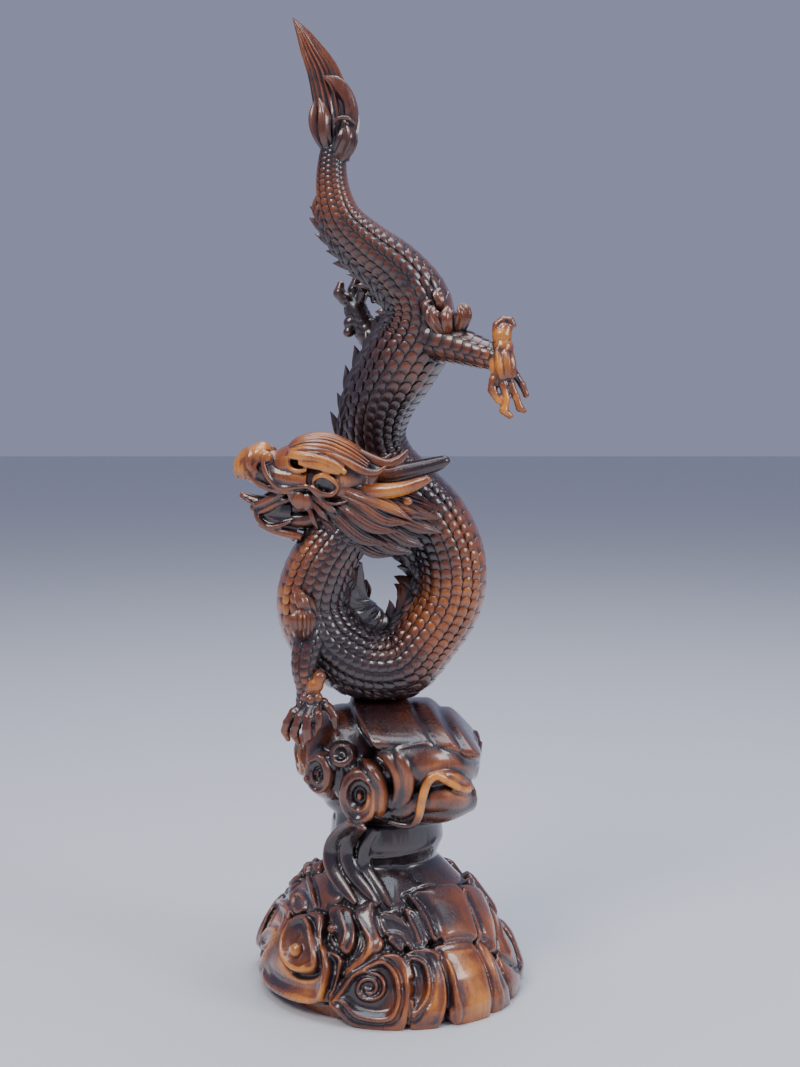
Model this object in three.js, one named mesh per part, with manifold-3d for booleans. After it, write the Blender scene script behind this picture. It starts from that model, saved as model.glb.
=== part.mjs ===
// A carved boxwood dragon that coils upwards on a two-tier cloud plinth.
// Millimetres, +Z up, +X to the right and +Y to the back as the carving is looked at.
// The origin is the middle of the plinth's flat underside.
import * as THREE from "three";
import { mergeVertices } from "three/addons/utils/BufferGeometryUtils.js";
import Module from "manifold-3d";

const wasm = await Module();
wasm.setup();

// Driving dimensions
const SEAT_GAP = 0.35; // between the dragon and the plinth that it stands on
const BODY_SIDES = 10;
const FIN_COUNT = 34; // flames of the crest along the whole spine
const FIN_HEIGHT = 6; // on the thickest part of the body
const FIN_SPREAD = THREE.MathUtils.degToRad(8); // a flame's foot to either side of the back line
const FIN_FIRST = 3; // the crest is left off under the mane and under the tail tuft
const FIN_LAST = 31;
const SKIRT_RADIUS = 50; // core of the lower cloud, before its curls
const FOOT_SHIFT = [6, -3]; // the foot stands off to the right and front, and curls overhang it at the left
const FOOT_HEIGHT = 22;
const WAIST_TOP = 72;
const CURL_PROUD = 1.5; // how far a curl's middle stands off the core
const LEAN = 0.8; // how far the upper cloud's bands shift to the left for each millimetre upwards
const LEAN_FROM = 102;

// The spine, from the back of the skull to the root of the tail tuft: x, y, z, radius
const SPINE = [
  [-7.5, -15, 204, 9.5],
  [-17, -14, 193, 11.8],
  [-26.5, -11, 179, 13.6],
  [-30.9, -7, 162.7, 14.2],
  [-25.3, -3, 147, 14.6],
  [-11.2, 0, 136.6, 14.7],
  [4.7, 2, 135.9, 15],
  [16.4, 4, 147, 14.2],
  [25.6, 6, 162, 14.5],
  [26.5, 8, 179, 14.8],
  [20, 10, 194.8, 14.8],
  [9, 13, 207.3, 14.3],
  [-1.3, 15, 219.2, 13.6],
  [-5.5, 13, 232, 13.2],
  [-2.5, 10, 246.5, 14.2],
  [5.6, 7, 260.7, 15.2],
  [13, 5, 273.5, 14.8],
  [13.4, 3, 286.5, 13.2],
  [4.7, 2, 299.1, 11.5],
  [-8, 1, 309.2, 10.2],
  [-17.8, 0, 319.2, 8.6],
  [-21.9, 0, 331.3, 7],
  [-22.2, 0, 343.4, 5.8],
  [-20.2, 0, 353, 5],
];

// Where the head sits, and how it is turned: its far side is a little higher and further right
const HEAD_PLACE = [-24.5, -18, 213];
const HEAD_ROLL = THREE.MathUtils.degToRad(12);
const HEAD_YAW = THREE.MathUtils.degToRad(-6);

const DEPTH = new THREE.Vector3(0, 1, 0);
const UP = new THREE.Vector3(0, 0, 1);

// A closed mesh as a solid for joining
function solid(geometry) {
  const bare = geometry.clone();
  bare.deleteAttribute("normal");
  bare.deleteAttribute("uv");
  const merged = mergeVertices(bare, 1e-4);
  return new wasm.Manifold(
    new wasm.Mesh({
      numProp: 3,
      vertProperties: new Float32Array(merged.attributes.position.array),
      triVerts: new Uint32Array(merged.index.array),
    }),
  );
}

function join(geometries) {
  return geometries.map(solid).reduce((whole, piece) => whole.add(piece));
}

function smoothPath(points) {
  return new THREE.CatmullRomCurve3(points, false, "catmullrom", 0.5);
}

// The centre, tangent, across and outward directions at a share t of a path
function frameAt(path, t, across) {
  const tangent = path.getTangent(t);
  const side = across.clone().addScaledVector(tangent, -across.dot(tangent)).normalize();
  const normal = new THREE.Vector3().crossVectors(side, tangent);
  return { centre: path.getPoint(t), tangent, side, normal };
}

// A round, oval or squarish bar of changing girth along stations of x, y, z and radius
function bar(stations, { sides = 6, steps = 5, across = DEPTH, flat = 1, square = 1 } = {}) {
  const path = smoothPath(stations.map(([x, y, z]) => new THREE.Vector3(x, y, z)));
  const girth = smoothPath(stations.map(([, , , r]) => new THREE.Vector3(r, 0, 0)));
  const shape = new THREE.CylinderGeometry(1, 1, 1, sides, steps);
  const place = shape.attributes.position;
  const shaped = (v) => Math.sign(v) * Math.abs(v) ** square;
  for (let i = 0; i < place.count; i++) {
    const t = place.getY(i) + 0.5;
    const { centre, side, normal } = frameAt(path, t, across);
    const radius = girth.getPoint(t).x;
    const point = centre
      .addScaledVector(side, shaped(place.getX(i)) * radius * flat)
      .addScaledVector(normal, shaped(place.getZ(i)) * radius);
    place.setXYZ(i, point.x, point.y, point.z);
  }
  return shape;
}

function ball([x, y, z], [rx, ry, rz], round = 7) {
  return new THREE.SphereGeometry(1, round, Math.round(round * 0.6))
    .scale(rx, ry, rz)
    .translate(x, y, z);
}

// A pointed leaf or lock of hair through its root, middle and tip
function leaf(root, middle, tip, width, { flat = 0.45, sides = 5, steps = 4, across = DEPTH } = {}) {
  return bar(
    [
      [...root, width * 0.6],
      [...middle, width],
      [...tip, width * 0.08],
    ],
    { sides, steps, across, flat },
  );
}

const mirrored = ([x, y, z, ...rest]) => [x, -y, z, ...rest];
const bothSides = (make) => [make((p) => p), make(mirrored)].flat();

// The long body with its serrated crest. The crest runs along the back, the inner side of the coil:
// one corner of the round section is drawn out between two that close in on it, and it rises from
// a notch to a tip that leans towards the tail, flame after flame.
function trunk(grow = 0) {
  const path = smoothPath(SPINE.map(([x, y, z]) => new THREE.Vector3(x, y, z)));
  const girth = smoothPath(SPINE.map(([, , , r]) => new THREE.Vector3(r, 0, 0)));
  const shape = new THREE.CylinderGeometry(1, 1, 1, BODY_SIDES, 2 * FIN_COUNT);
  const place = shape.attributes.position;
  const round = (2 * (Math.PI - FIN_SPREAD)) / (BODY_SIDES - 2);
  for (let i = 0; i < place.count; i++) {
    const t = place.getY(i) + 0.5;
    const beat = Math.round(t * 2 * FIN_COUNT);
    const { centre, tangent, side, normal } = frameAt(path, t, DEPTH);
    const radius = girth.getPoint(t).x + grow;
    const share = Math.hypot(place.getX(i), place.getZ(i));
    const corner = (Math.atan2(place.getX(i), place.getZ(i)) * BODY_SIDES) / (2 * Math.PI);
    const turn = Math.round(corner + BODY_SIDES) % BODY_SIDES;
    const crested = beat > 2 * FIN_FIRST && beat < 2 * FIN_LAST;
    const size = FIN_HEIGHT * (0.4 + (0.6 * radius) / SPINE[6][3]);
    const rise = turn === 0 && crested && beat % 2 === 1 ? size : 0;
    const angle = turn === 0 ? 0 : FIN_SPREAD + (turn - 1) * round;
    const point = centre
      .addScaledVector(normal, -Math.cos(angle) * (radius + rise) * share)
      .addScaledVector(side, -Math.sin(angle) * radius * share)
      .addScaledVector(tangent, rise * 0.5);
    place.setXYZ(i, point.x, point.y, point.z);
  }
  return shape;
}

// The head, built about the middle of the skull at eye height and facing -X
function headParts() {
  const middle = [
    ball([5, 0, 4], [17, 10.5, 11], 8),
    bar(
      [
        [4, 0, 2, 9.5],
        [-10, 0, 3.5, 8],
        [-21, 0, 5.5, 7.6],
        [-30, 0, 7.5, 6.6],
        [-35, 0, 7.5, 3.2],
      ],
      { sides: 8, flat: 1.12 },
    ),
    bar(
      [
        [-15, 0, 11, 3],
        [-7, 0, 14.5, 5],
        [6, 0, 13.5, 6],
        [20, 0, 7, 4.5],
      ],
      { sides: 5, steps: 4, flat: 1.6 },
    ),
    bar(
      [
        [8, 0, -9, 6],
        [-6, 0, -14.5, 5],
        [-18, 0, -14.8, 4.6],
        [-27, 0, -12, 3.4],
        [-30, 0, -9.5, 1.6],
      ],
      { flat: 1.4 },
    ),
    leaf([-8, 0, -10], [-22, 0, -8.6], [-35, 0, -4.5], 3.2, { flat: 1.3 }),
    // Far horn, which shows above the near one
    bar(
      [
        [12, 8, 3, 4],
        [24, 10, 1, 4],
        [36, 12, 3, 3],
        [49, 13, 6.6, 0.9],
      ],
      { steps: 4 },
    ),
    // Near horn
    bar(
      [
        [12, -8, 1, 4],
        [22, -9.5, -4, 4.1],
        [33, -11, -2.8, 3.1],
        [43, -12, 3, 0.9],
      ],
      { steps: 4 },
    ),
    // Cheek pad, lower lip and fang, carved on the side that is seen
    ball([-9, -7.5, -7], [5, 3.4, 6.2], 6),
    bar(
      [
        [-27, -4.8, -11, 1.9],
        [-20, -6.8, -7.5, 1.9],
        [-12, -8, -4, 1.6],
      ],
      { sides: 4, steps: 3 },
    ),
    leaf([-15, -6.2, 1], [-14.5, -7, -4], [-12.8, -7.4, -9.5], 1.6, { sides: 4, steps: 2, flat: 1 }),
  ];
  const sides = bothSides((side) => [
    ball(side([-25.5, -4.2, 12.6]), [5.4, 3.8, 4.4], 6),
    ball(side([-0.5, -8.5, 0.2]), [4.3, 3.4, 3.4], 6),
    bar(
      [
        side([-15, -6.5, 9.5, 3]),
        side([-7, -9, 9.5, 4]),
        side([2, -10, 6.5, 3.4]),
        side([8, -10, 3, 2]),
      ],
      { sides: 4, steps: 3, flat: 0.9 },
    ),
    bar(
      [
        side([-22, -7, 12, 1.2]),
        side([-18, -9, 2.5, 1.7]),
        side([-8, -9.5, -1.5, 1.6]),
        side([2, -9.5, -4.5, 1.5]),
        side([9, -10, -10, 1.2]),
      ],
      { sides: 4, steps: 5 },
    ),
    leaf(side([8, -8, 3]), side([17, -10.5, 3]), side([25.5, -11, 7]), 3.6, { sides: 4, steps: 3 }),
    ...LOCKS.map((lock) => lockOf(lock.map(side))),
  ]);
  return [...middle, ...sides, ...CHEEK_LOCKS.map(lockOf)];
}

// One side's mane locks, and the cheek locks of the side that is seen: root, middle, and tip with
// the half-width
const LOCKS = [
  [[4, -7, -2], [20, -11.5, -8.5], [34.5, -11.5, -15.8, 4]],
  [[5, -7, -7], [17, -12, -14], [29.5, -11.5, -20, 4]],
  [[3, -6, -11], [14, -11.5, -19], [25.5, -10.5, -25.5, 3.8]],
  [[10, -4, -5], [28, -7, -9.5], [46, -4.5, -15, 5.4]],
  [[10, -3, -10], [28, -5, -16.5], [46, -1, -21.5, 5.4]],
  [[6, -3, -13], [20, -5, -23], [35, -3, -28.5, 4.6]],
];
const CHEEK_LOCKS = [
  [[0, -4, -11], [7, -9, -21], [15, -8, -28, 3.6]],
  [[-3, -5, -3], [0, -10.8, -11], [4, -11, -16, 2.8]],
];

function lockOf([root, middle, [x, y, z, width]]) {
  return leaf(root, middle, [x, y, z], width, { sides: 4, steps: 3 });
}

function head() {
  const turn = new THREE.Matrix4()
    .makeTranslation(...HEAD_PLACE)
    .multiply(new THREE.Matrix4().makeRotationZ(HEAD_YAW))
    .multiply(new THREE.Matrix4().makeRotationX(HEAD_ROLL));
  return headParts().map((piece) => piece.applyMatrix4(turn));
}

// A leg through its stations, with clawed toes that each bend once
function leg(stations, toes, claw, grow) {
  const end = stations.at(-1);
  return [
    bar(
      stations.map(([x, y, z, radius]) => [x, y, z, radius + grow]),
      { sides: 6, steps: 4 },
    ),
    ...toes.map(([knuckle, tip]) =>
      bar(
        [
          [end[0], end[1], end[2], claw + grow],
          [...knuckle, claw * 1.15 + grow],
          [...tip, claw * 0.35 + grow],
        ],
        { sides: 4, steps: 2, across: Math.abs(tip[1] - end[1]) > 8 ? UP : DEPTH },
      ),
    ),
  ];
}

function forelegs(grow = 0) {
  return [
    // Near foreleg, which grips the cloud's left edge
    ...leg(
      [
        [-25, -13, 163, 9.5],
        [-31.2, -17, 150.6, 7],
        [-33.4, -18.5, 138.7, 5.2],
        [-32, -18.5, 128.5, 4.6],
        [-31.7, -18, 118.9, 5.6],
      ],
      [
        [[-37.5, -20, 115.3], [-40, -18.5, 107.7]],
        [[-34.4, -23.5, 114.3], [-34, -24, 105.7]],
        [[-28.9, -23.5, 114.3], [-28.4, -24, 105]],
        [[-24.3, -21, 116.3], [-21.8, -20, 109.5]],
        [[-29.4, -21, 126.5], [-27.9, -23.5, 134.6]],
      ],
      2.3,
      grow,
    ),
    // Far foreleg, which stands on the back of the upper cloud
    ...leg(
      [
        [-22, 6, 158, 9],
        [-12, 16, 155, 7.5],
        [-3, 22, 147, 5.6],
        [0, 23, 137, 4.6],
        [1, 22, 129, 4.8],
      ],
      [
        [[-4, 20, 125.5], [-8.5, 19, 122.6]],
        [[-3, 26, 125.5], [-6.5, 28.5, 120.5]],
        [[2.5, 27.5, 125], [2.5, 30, 119]],
        [[6, 24, 125.5], [9.5, 25, 121]],
      ],
      2,
      grow,
    ),
  ];
}

function hindLegs() {
  return [
    // Near hind leg, reaching out to the right with its claws hanging
    ...leg(
      [
        [15, -1, 273, 12],
        [27, -8, 269.5, 8],
        [37.5, -14, 265.5, 6],
        [45.5, -17, 262.5, 5],
        [47.6, -18, 256, 4.8],
      ],
      [
        [[43.5, -20, 249], [47, -21, 241.3]],
        [[48.5, -20.5, 248], [51.5, -20.5, 241.8]],
        [[52.5, -17, 250], [55.5, -17, 243.5]],
        [[53.5, -13, 253.5], [57.3, -13.5, 248.5]],
        [[46.5, -18, 270.5], [50.5, -18.5, 277.8]],
      ],
      2.3,
      0,
    ),
    // Far hind leg, raised to the left behind the body
    ...leg(
      [
        [8, 8, 266, 10],
        [-2.5, 16, 270, 6.4],
        [-9, 19, 276.5, 5.2],
        [-13, 19.5, 284, 4.8],
        [-13, 20, 287, 4.6],
      ],
      [
        [[-17.5, 18, 289], [-19.5, 18, 293.2]],
        [[-13.5, 22, 293], [-12, 23, 297.5]],
        [[-8.5, 20, 292.5], [-5.5, 19, 290]],
        [[-10, 16, 290], [-8.5, 15, 294.5]],
        [[-15.5, 18, 279], [-15.8, 17.5, 273.8]],
      ],
      2.2,
      0,
    ),
  ];
}

// Tulip-like clusters of flame hair at the joints: a fan of leaves from one root
function tuftAt([x, y, z], lean, count, length, width, spread) {
  const leaves = [];
  for (let i = 0; i < count; i++) {
    const share = count === 1 ? 0 : i / (count - 1) - 0.5;
    const angle = lean + share * spread;
    const reach = length * (1 - 0.5 * Math.abs(share));
    const out = (step, proud) => [
      x + Math.sin(angle) * step,
      y - proud,
      z + Math.cos(angle) * step,
    ];
    leaves.push(
      leaf(out(0, 0), out(reach * 0.5, 2.4), out(reach, 0.6), width, { flat: 0.8, sides: 4, steps: 2 }),
    );
  }
  return leaves;
}

function tufts() {
  return [
    ...tuftAt([22.5, -9, 274.5], 0.05, 4, 13.5, 3.4, 1.5),
    ...tuftAt([16, 13, 273], -0.3, 2, 13, 3.6, 0.9),
    ...tuftAt([-32.5, -20, 154], -0.02, 3, 17.5, 3.4, 0.7),
    ...tuftAt([-14, 20, 155], 0.4, 2, 12, 3.6, 0.7),
  ];
}

// The flame of hair that ends the tail
function tailTuft() {
  return [
    bar(
      [
        [-20, 0, 346, 4.6],
        [-20, 0, 358, 6.8],
        [-23.7, 0, 370, 6.2],
        [-29.6, 0, 384, 4.3],
        [-34.6, 0, 394.5, 2.6],
        [-37.6, 0, 400, 0.9],
      ],
      { sides: 6, steps: 6, flat: 0.85 },
    ),
    leaf([-19, -2.5, 347], [-15.5, -4.5, 356], [-15, -3.5, 366], 4.8, { sides: 4, steps: 3, flat: 0.7 }),
    leaf([-20, -2, 352], [-17.5, -4.5, 366], [-25, -3.2, 377.5], 4, { sides: 4, steps: 3, flat: 0.7 }),
    leaf([-22, -1, 348], [-27.2, -1, 360], [-28.5, 0, 371], 3.2, { sides: 4, steps: 3, flat: 0.8 }),
    leaf([-19, 2.5, 347], [-18, 5, 360], [-22, 3.5, 374], 4.6, { sides: 4, steps: 3, flat: 0.7 }),
  ];
}

// The lower cloud's core and the bowl-shaped waist on it: radius at a height
const SKIRT_PROFILE = [
  [SKIRT_RADIUS - 1, 0],
  [SKIRT_RADIUS + 1, 6],
  [SKIRT_RADIUS, 16],
  [SKIRT_RADIUS - 5.5, 28],
  [SKIRT_RADIUS - 16, 42],
  [SKIRT_RADIUS - 26, 52],
  [20.5, 55],
  [24, 63],
  [23, WAIST_TOP],
];

function skirtRadius(z) {
  const above = SKIRT_PROFILE.findIndex(([, height]) => height >= z);
  const [r1, z1] = SKIRT_PROFILE[Math.max(above, 1)];
  const [r0, z0] = SKIRT_PROFILE[Math.max(above, 1) - 1];
  return r0 + ((r1 - r0) * (z - z0)) / (z1 - z0);
}

// How far the middle of the lower cloud is shifted at a height, as x and y
function footShift(z) {
  return FOOT_SHIFT.map((most) => most * Math.max(0, 1 - z / FOOT_HEIGHT));
}

// A point on the lower cloud: bearing is in degrees from the front, positive to the right
function onSkirt(bearing, z, proud = 0) {
  const angle = THREE.MathUtils.degToRad(bearing);
  const slope = (skirtRadius(z - 2) - skirtRadius(z + 2)) / 4;
  const outward = new THREE.Vector3(Math.sin(angle), -Math.cos(angle), slope).normalize();
  const radius = skirtRadius(z);
  const [dx, dy] = footShift(z);
  const centre = new THREE.Vector3(Math.sin(angle) * radius + dx, dy - Math.cos(angle) * radius, z);
  return { centre: centre.addScaledVector(outward, proud), outward };
}

// Moves a motif drawn in x right, y up, z out onto a surface
function laid(pieces, centre, outward, lean = 0) {
  const right = new THREE.Vector3().crossVectors(UP, outward).normalize();
  const up = new THREE.Vector3().crossVectors(outward, right);
  const frame = new THREE.Matrix4()
    .makeBasis(right, up, outward)
    .setPosition(centre)
    .multiply(new THREE.Matrix4().makeRotationZ(lean));
  return pieces.map((piece) => piece.applyMatrix4(frame));
}

// A cloud curl: a flat-topped lobe with a raised rim that winds in to a bead
function volute(radius, hand, tall) {
  const thick = radius * 0.3;
  const rim = [];
  const stations = 8;
  for (let i = 0; i <= stations; i++) {
    const share = i / stations;
    const angle = -1.2 + share * 2.4 * Math.PI;
    const reach = radius * (0.86 - 0.58 * share);
    rim.push([
      hand * Math.cos(angle) * reach,
      Math.sin(angle) * reach * tall,
      thick * (0.85 + 0.25 * share),
      radius * (0.19 - 0.06 * share),
    ]);
  }
  return [
    new THREE.CylinderGeometry(radius * 0.9, radius, thick * 2, 8).rotateX(Math.PI / 2).scale(1, tall, 1),
    bar(rim, { sides: 4, steps: 9, across: UP }),
  ];
}

// A simpler curl: a lobe with an eye, which sits off centre so that the rim is broad on one side
function eyed(radius, hand, tall) {
  const thick = radius * 0.34;
  const profile = [
    [0, -thick],
    [radius, -thick],
    [radius * 0.92, thick],
    [radius * 0.48, thick * 0.2],
    [radius * 0.2, thick * 0.4],
    [0, thick],
  ];
  const shape = new THREE.LatheGeometry(
    profile.map(([r, z]) => new THREE.Vector2(r, z)),
    8,
  ).rotateX(Math.PI / 2);
  const place = shape.attributes.position;
  for (let i = 0; i < place.count; i++) {
    const inward = Math.max(0, 1 - Math.hypot(place.getX(i), place.getY(i)) / radius);
    const lid = place.getZ(i) > 0 ? inward : 0;
    place.setX(i, place.getX(i) + hand * radius * 0.2 * lid);
    place.setY(i, (place.getY(i) - radius * 0.16 * lid) * tall);
  }
  return [shape];
}

// Lower cloud curls: kind, bearing, height, radius, winding hand and height over width
const SKIRT_CURLS = [
  [volute, -49, 22.5, 15.5, -1, 1.08],
  [volute, -7, 14, 12.5, 1, 1.05],
  [eyed, 16, 13, 11, 1, 1.15],
  [eyed, -82, 22, 12, -1, 1.3],
  [eyed, -62, 40, 8.5, -1, 1.1],
  [eyed, -100, 42, 8, 1, 1],
  [eyed, -114, 18, 15, -1, 1.1],
  [eyed, -149, 17, 15, 1, 1.1],
  [eyed, 176, 17, 15, -1, 1.1],
  [eyed, 143, 17, 14, 1, 1.1],
  [eyed, -150, 41, 10, 1, 1],
];

// Broad slabs of cloud that fall down the lower tiers: bearing, top, bottom, half-width, half-thickness
const SKIRT_RIBS = [
  [38, 46, 28, 8.5, 7],
  [36, 28, 2.9, 9, 8],
  [62, 43, 22, 5.5, 7],
  [59, 26, 2.9, 7, 7.5],
  [84, 41, 20, 6, 7],
  [78, 22, 2.9, 6.5, 7],
  [98, 21, 2.9, 7, 7],
  [106, 40, 18, 6, 7],
  [119, 22, 2.9, 7, 7],
  [134, 42, 24, 8, 6],
];

function rib([bearing, top, bottom, half, thick]) {
  const stations = [];
  const rows = 3;
  for (let i = 0; i < rows; i++) {
    const z = top + ((bottom - top) * i) / (rows - 1);
    const { centre } = onSkirt(bearing, z, i === 0 ? -3 : -1.5);
    stations.push([centre.x, centre.y, centre.z, thick * (i === 0 ? 0.8 : 1)]);
  }
  const angle = THREE.MathUtils.degToRad(bearing);
  const across = new THREE.Vector3(Math.cos(angle), Math.sin(angle), 0);
  return bar(stations, { sides: 8, steps: 2, across, flat: half / thick, square: 0.6 });
}

// Bands laid over the lower cloud: half-width, and bearing and height along the way.
// The first three run down from the waist, then come two tongues and two nested arcs.
const BANDS = [
  [3.6, [-72, 70], [-84, 57], [-52, 50], [-35, 43]],
  [3.6, [-44, 70], [-46, 57], [-20, 50], [-3, 44]],
  [3.4, [-112, 70], [-106, 56], [-84, 50], [-80, 42]],
  [3.4, [-34, 42], [-27, 36], [-21, 26]],
  [3.8, [-16, 44], [-7, 35], [-12, 24]],
  [3, [-7, 37], [7, 38], [17, 28]],
  [3, [1, 47], [18, 44], [25, 31]],
];

function band([width, ...route]) {
  const stations = route.map(([bearing, z], i) => {
    const { centre } = onSkirt(bearing, z, 1);
    return [centre.x, centre.y, centre.z, i === route.length - 1 ? width * 0.4 : width];
  });
  const [bearing, z] = route[1];
  const across = onSkirt(bearing, z).outward;
  return bar(stations, { sides: 4, steps: 2 * route.length - 2, across, flat: 0.9 });
}

// A block of cloud: an outline of depth and height, extruded to the right from x
function slab(outline, x, width, bevel = 2) {
  const shape = new THREE.Shape(outline.map(([y, z]) => new THREE.Vector2(y, z)));
  const block = new THREE.ExtrudeGeometry(shape, {
    depth: width - 2 * bevel,
    bevelEnabled: true,
    bevelThickness: bevel,
    bevelSize: bevel,
    bevelOffset: -bevel,
    bevelSegments: 1,
  });
  const standing = new THREE.Matrix4().makeBasis(DEPTH, UP, new THREE.Vector3(1, 0, 0));
  return block.applyMatrix4(standing).translate(x + bevel, 0, 0);
}

// The upper cloud's bands wrap over its top and down its front like barrel staves
const STAVE = [
  [-29, 105.5],
  [-24, 112],
  [-14, 118],
  [-2, 122],
  [14, 121.5],
  [25, 114],
  [30, 100],
  [27, 84],
  [17, 74],
  [-14, 74],
  [-24, 83],
  [-28, 95],
];

function shrunk(outline, share, [y0, z0]) {
  return outline.map(([y, z]) => [y0 + (y - y0) * share, z0 + (z - z0) * share]);
}

// A band's right-hand end leans in towards its top, and its left-hand end leans the same way
function leaning(band) {
  const place = band.attributes.position;
  for (let i = 0; i < place.count; i++) {
    place.setX(i, place.getX(i) - LEAN * Math.max(0, place.getZ(i) - LEAN_FROM));
  }
  return band;
}

// Upper cloud curls: kind, centre, outward direction, radius, winding hand and height over width
const UPPER_CURLS = [
  [volute, [-11, -26.5, 87.5], [-0.2, -1, -0.2], 10, 1, 1.25],
  [eyed, [-27.5, -19.5, 95.5], [-0.6, -1, -0.1], 7.5, -1, 1.1],
  [eyed, [-18.5, -22, 105], [-0.35, -1, 0.5], 5.5, 1, 1],
  [eyed, [-34, -7, 99], [-1, -0.45, 0], 8, 1, 1.2],
  [eyed, [-31, 13, 94], [-1, 0.5, -0.1], 11, -1, 1],
  [eyed, [-14, 24, 94], [-0.3, 1, 0], 11, 1, 1],
  [eyed, [10, 27, 98], [0.1, 1, 0], 11, -1, 1],
  [eyed, [29, 15, 93], [0.9, 0.8, 0], 11, 1, 1],
];

function upperCloud() {
  return [
    leaning(slab(STAVE, -1, 28)),
    leaning(slab(shrunk(STAVE, 0.93, [0, 100]), 20, 15.5)),
    leaning(slab(shrunk(STAVE, 0.83, [2, 94]), 25, 12)),
    ball([-17.5, -2, 98], [21, 26, 22], 10),
    ball([4, -1, 80], [32, 27, 11], 10),
    // The amber roll under the top band
    bar(
      [
        [4.5, -23, 97.5, 8.5],
        [17, -24.5, 100.5, 7.5],
        [30, -17, 99, 6],
      ],
      { sides: 8, steps: 3 },
    ),
    // The curled lip below the roll, which rises from the cloud's underside and turns over
    bar(
      [
        [-4, -26, 77, 2.6],
        [8, -27, 75.5, 2.8],
        [14, -29.5, 83, 2.8],
        [18, -31, 94, 2.8],
        [26, -29, 92.5, 2.8],
        [34.5, -21, 88, 2],
      ],
      { sides: 4, steps: 10 },
    ),
    bar(
      [
        [12, -20, 80, 7],
        [22, -20, 83, 9],
        [32, -13, 84, 7],
      ],
      { steps: 3 },
    ),
    // Nested arcs between the big curl and the roll
    bar(
      [
        [-4, -27, 101, 2.6],
        [4.5, -28.5, 95, 3],
        [5, -28, 86, 3],
        [-2, -26, 78, 2.4],
      ],
      { sides: 4 },
    ),
    ...UPPER_CURLS.flatMap(([kind, centre, outward, radius, hand, tall]) =>
      laid(
        kind(radius, hand, tall),
        new THREE.Vector3(...centre),
        new THREE.Vector3(...outward).normalize(),
      ),
    ),
  ];
}

function lowerCloud() {
  const core = new THREE.LatheGeometry(
    [[0, 0], ...SKIRT_PROFILE, [0, WAIST_TOP]].map(([r, z]) => new THREE.Vector2(r, z)),
    16,
  ).rotateX(Math.PI / 2);
  const place = core.attributes.position;
  for (let i = 0; i < place.count; i++) {
    const [dx, dy] = footShift(place.getZ(i));
    place.setXYZ(i, place.getX(i) + dx, place.getY(i) + dy, place.getZ(i));
  }
  return [
    core,
    ...SKIRT_CURLS.flatMap(([kind, bearing, z, radius, hand, tall]) => {
      const { centre, outward } = onSkirt(bearing, z, CURL_PROUD);
      return laid(kind(radius, hand, tall), centre, outward);
    }),
    ...SKIRT_RIBS.map(rib),
    ...BANDS.map(band),
  ];
}

// Everything above the table: what curls reach below it is cut off flat
function cutFlat(whole) {
  const under = new THREE.BoxGeometry(200, 200, 60).translate(0, 0, -30);
  return whole.subtract(solid(under));
}

function meshOf(name, made, finish) {
  const { numProp, vertProperties, triVerts } = made.getMesh();
  const geometry = new THREE.BufferGeometry();
  geometry.setAttribute("position", new THREE.BufferAttribute(vertProperties, numProp));
  geometry.setIndex(new THREE.BufferAttribute(triVerts, 1));
  geometry.computeVertexNormals();
  const mesh = new THREE.Mesh(geometry, finish);
  mesh.name = name;
  return mesh;
}

const boxwood = new THREE.MeshStandardMaterial({
  color: new THREE.Color(0.3, 0.12, 0.05),
  roughness: 0.38,
  metalness: 0,
});

const dragonSolid = join([
  trunk(),
  ...head(),
  ...forelegs(),
  ...hindLegs(),
  ...tufts(),
  ...tailTuft(),
]);

// The room that the dragon's coil and feet take up in the cloud's top, with the seat's gap
function seatRoom() {
  const grown = join([trunk(SEAT_GAP), ...forelegs(SEAT_GAP)]);
  return grown.add(grown.translate([0, 0, -SEAT_GAP]));
}

const plinthSolid = cutFlat(join([...lowerCloud(), ...upperCloud()])).subtract(seatRoom());

const carving = new THREE.Group();
carving.add(meshOf("dragon", dragonSolid, boxwood));
carving.add(meshOf("cloud_plinth", plinthSolid, boxwood));

export default carving;
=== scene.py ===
import math

import bmesh
import bpy
import numpy as np
from bpy.props import FloatProperty, FloatVectorProperty, IntProperty, PointerProperty
from mathutils import Matrix, Vector
from mathutils.bvhtree import BVHTree


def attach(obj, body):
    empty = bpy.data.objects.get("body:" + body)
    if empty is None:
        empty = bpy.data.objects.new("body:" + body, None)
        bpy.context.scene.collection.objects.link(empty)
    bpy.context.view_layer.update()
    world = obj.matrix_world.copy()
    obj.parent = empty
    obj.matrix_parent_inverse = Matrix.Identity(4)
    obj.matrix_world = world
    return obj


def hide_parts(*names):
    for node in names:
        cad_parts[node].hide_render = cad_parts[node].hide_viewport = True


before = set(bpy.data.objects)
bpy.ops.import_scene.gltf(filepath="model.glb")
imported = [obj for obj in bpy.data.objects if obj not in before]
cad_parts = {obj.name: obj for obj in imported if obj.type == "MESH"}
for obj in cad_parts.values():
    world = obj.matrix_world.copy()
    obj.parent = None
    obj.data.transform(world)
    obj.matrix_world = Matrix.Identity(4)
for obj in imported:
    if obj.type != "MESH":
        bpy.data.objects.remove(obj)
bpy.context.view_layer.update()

bl_info = {
    "name": "Carved boxwood dragon",
    "version": (1, 0, 0),
    "blender": (4, 5, 0),
    "location": "3D View > Sidebar > Dragon",
    "description": "Dresses a carved dragon and its cloud plinth in scales, hair and worn polish",
    "category": "Object",
}

MM = 0.001  # shapes are worked out in millimetres and go into the scene in metres
DEPTH = np.array((0.0, 1.0, 0.0))
UP = np.array((0.0, 0.0, 1.0))

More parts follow.
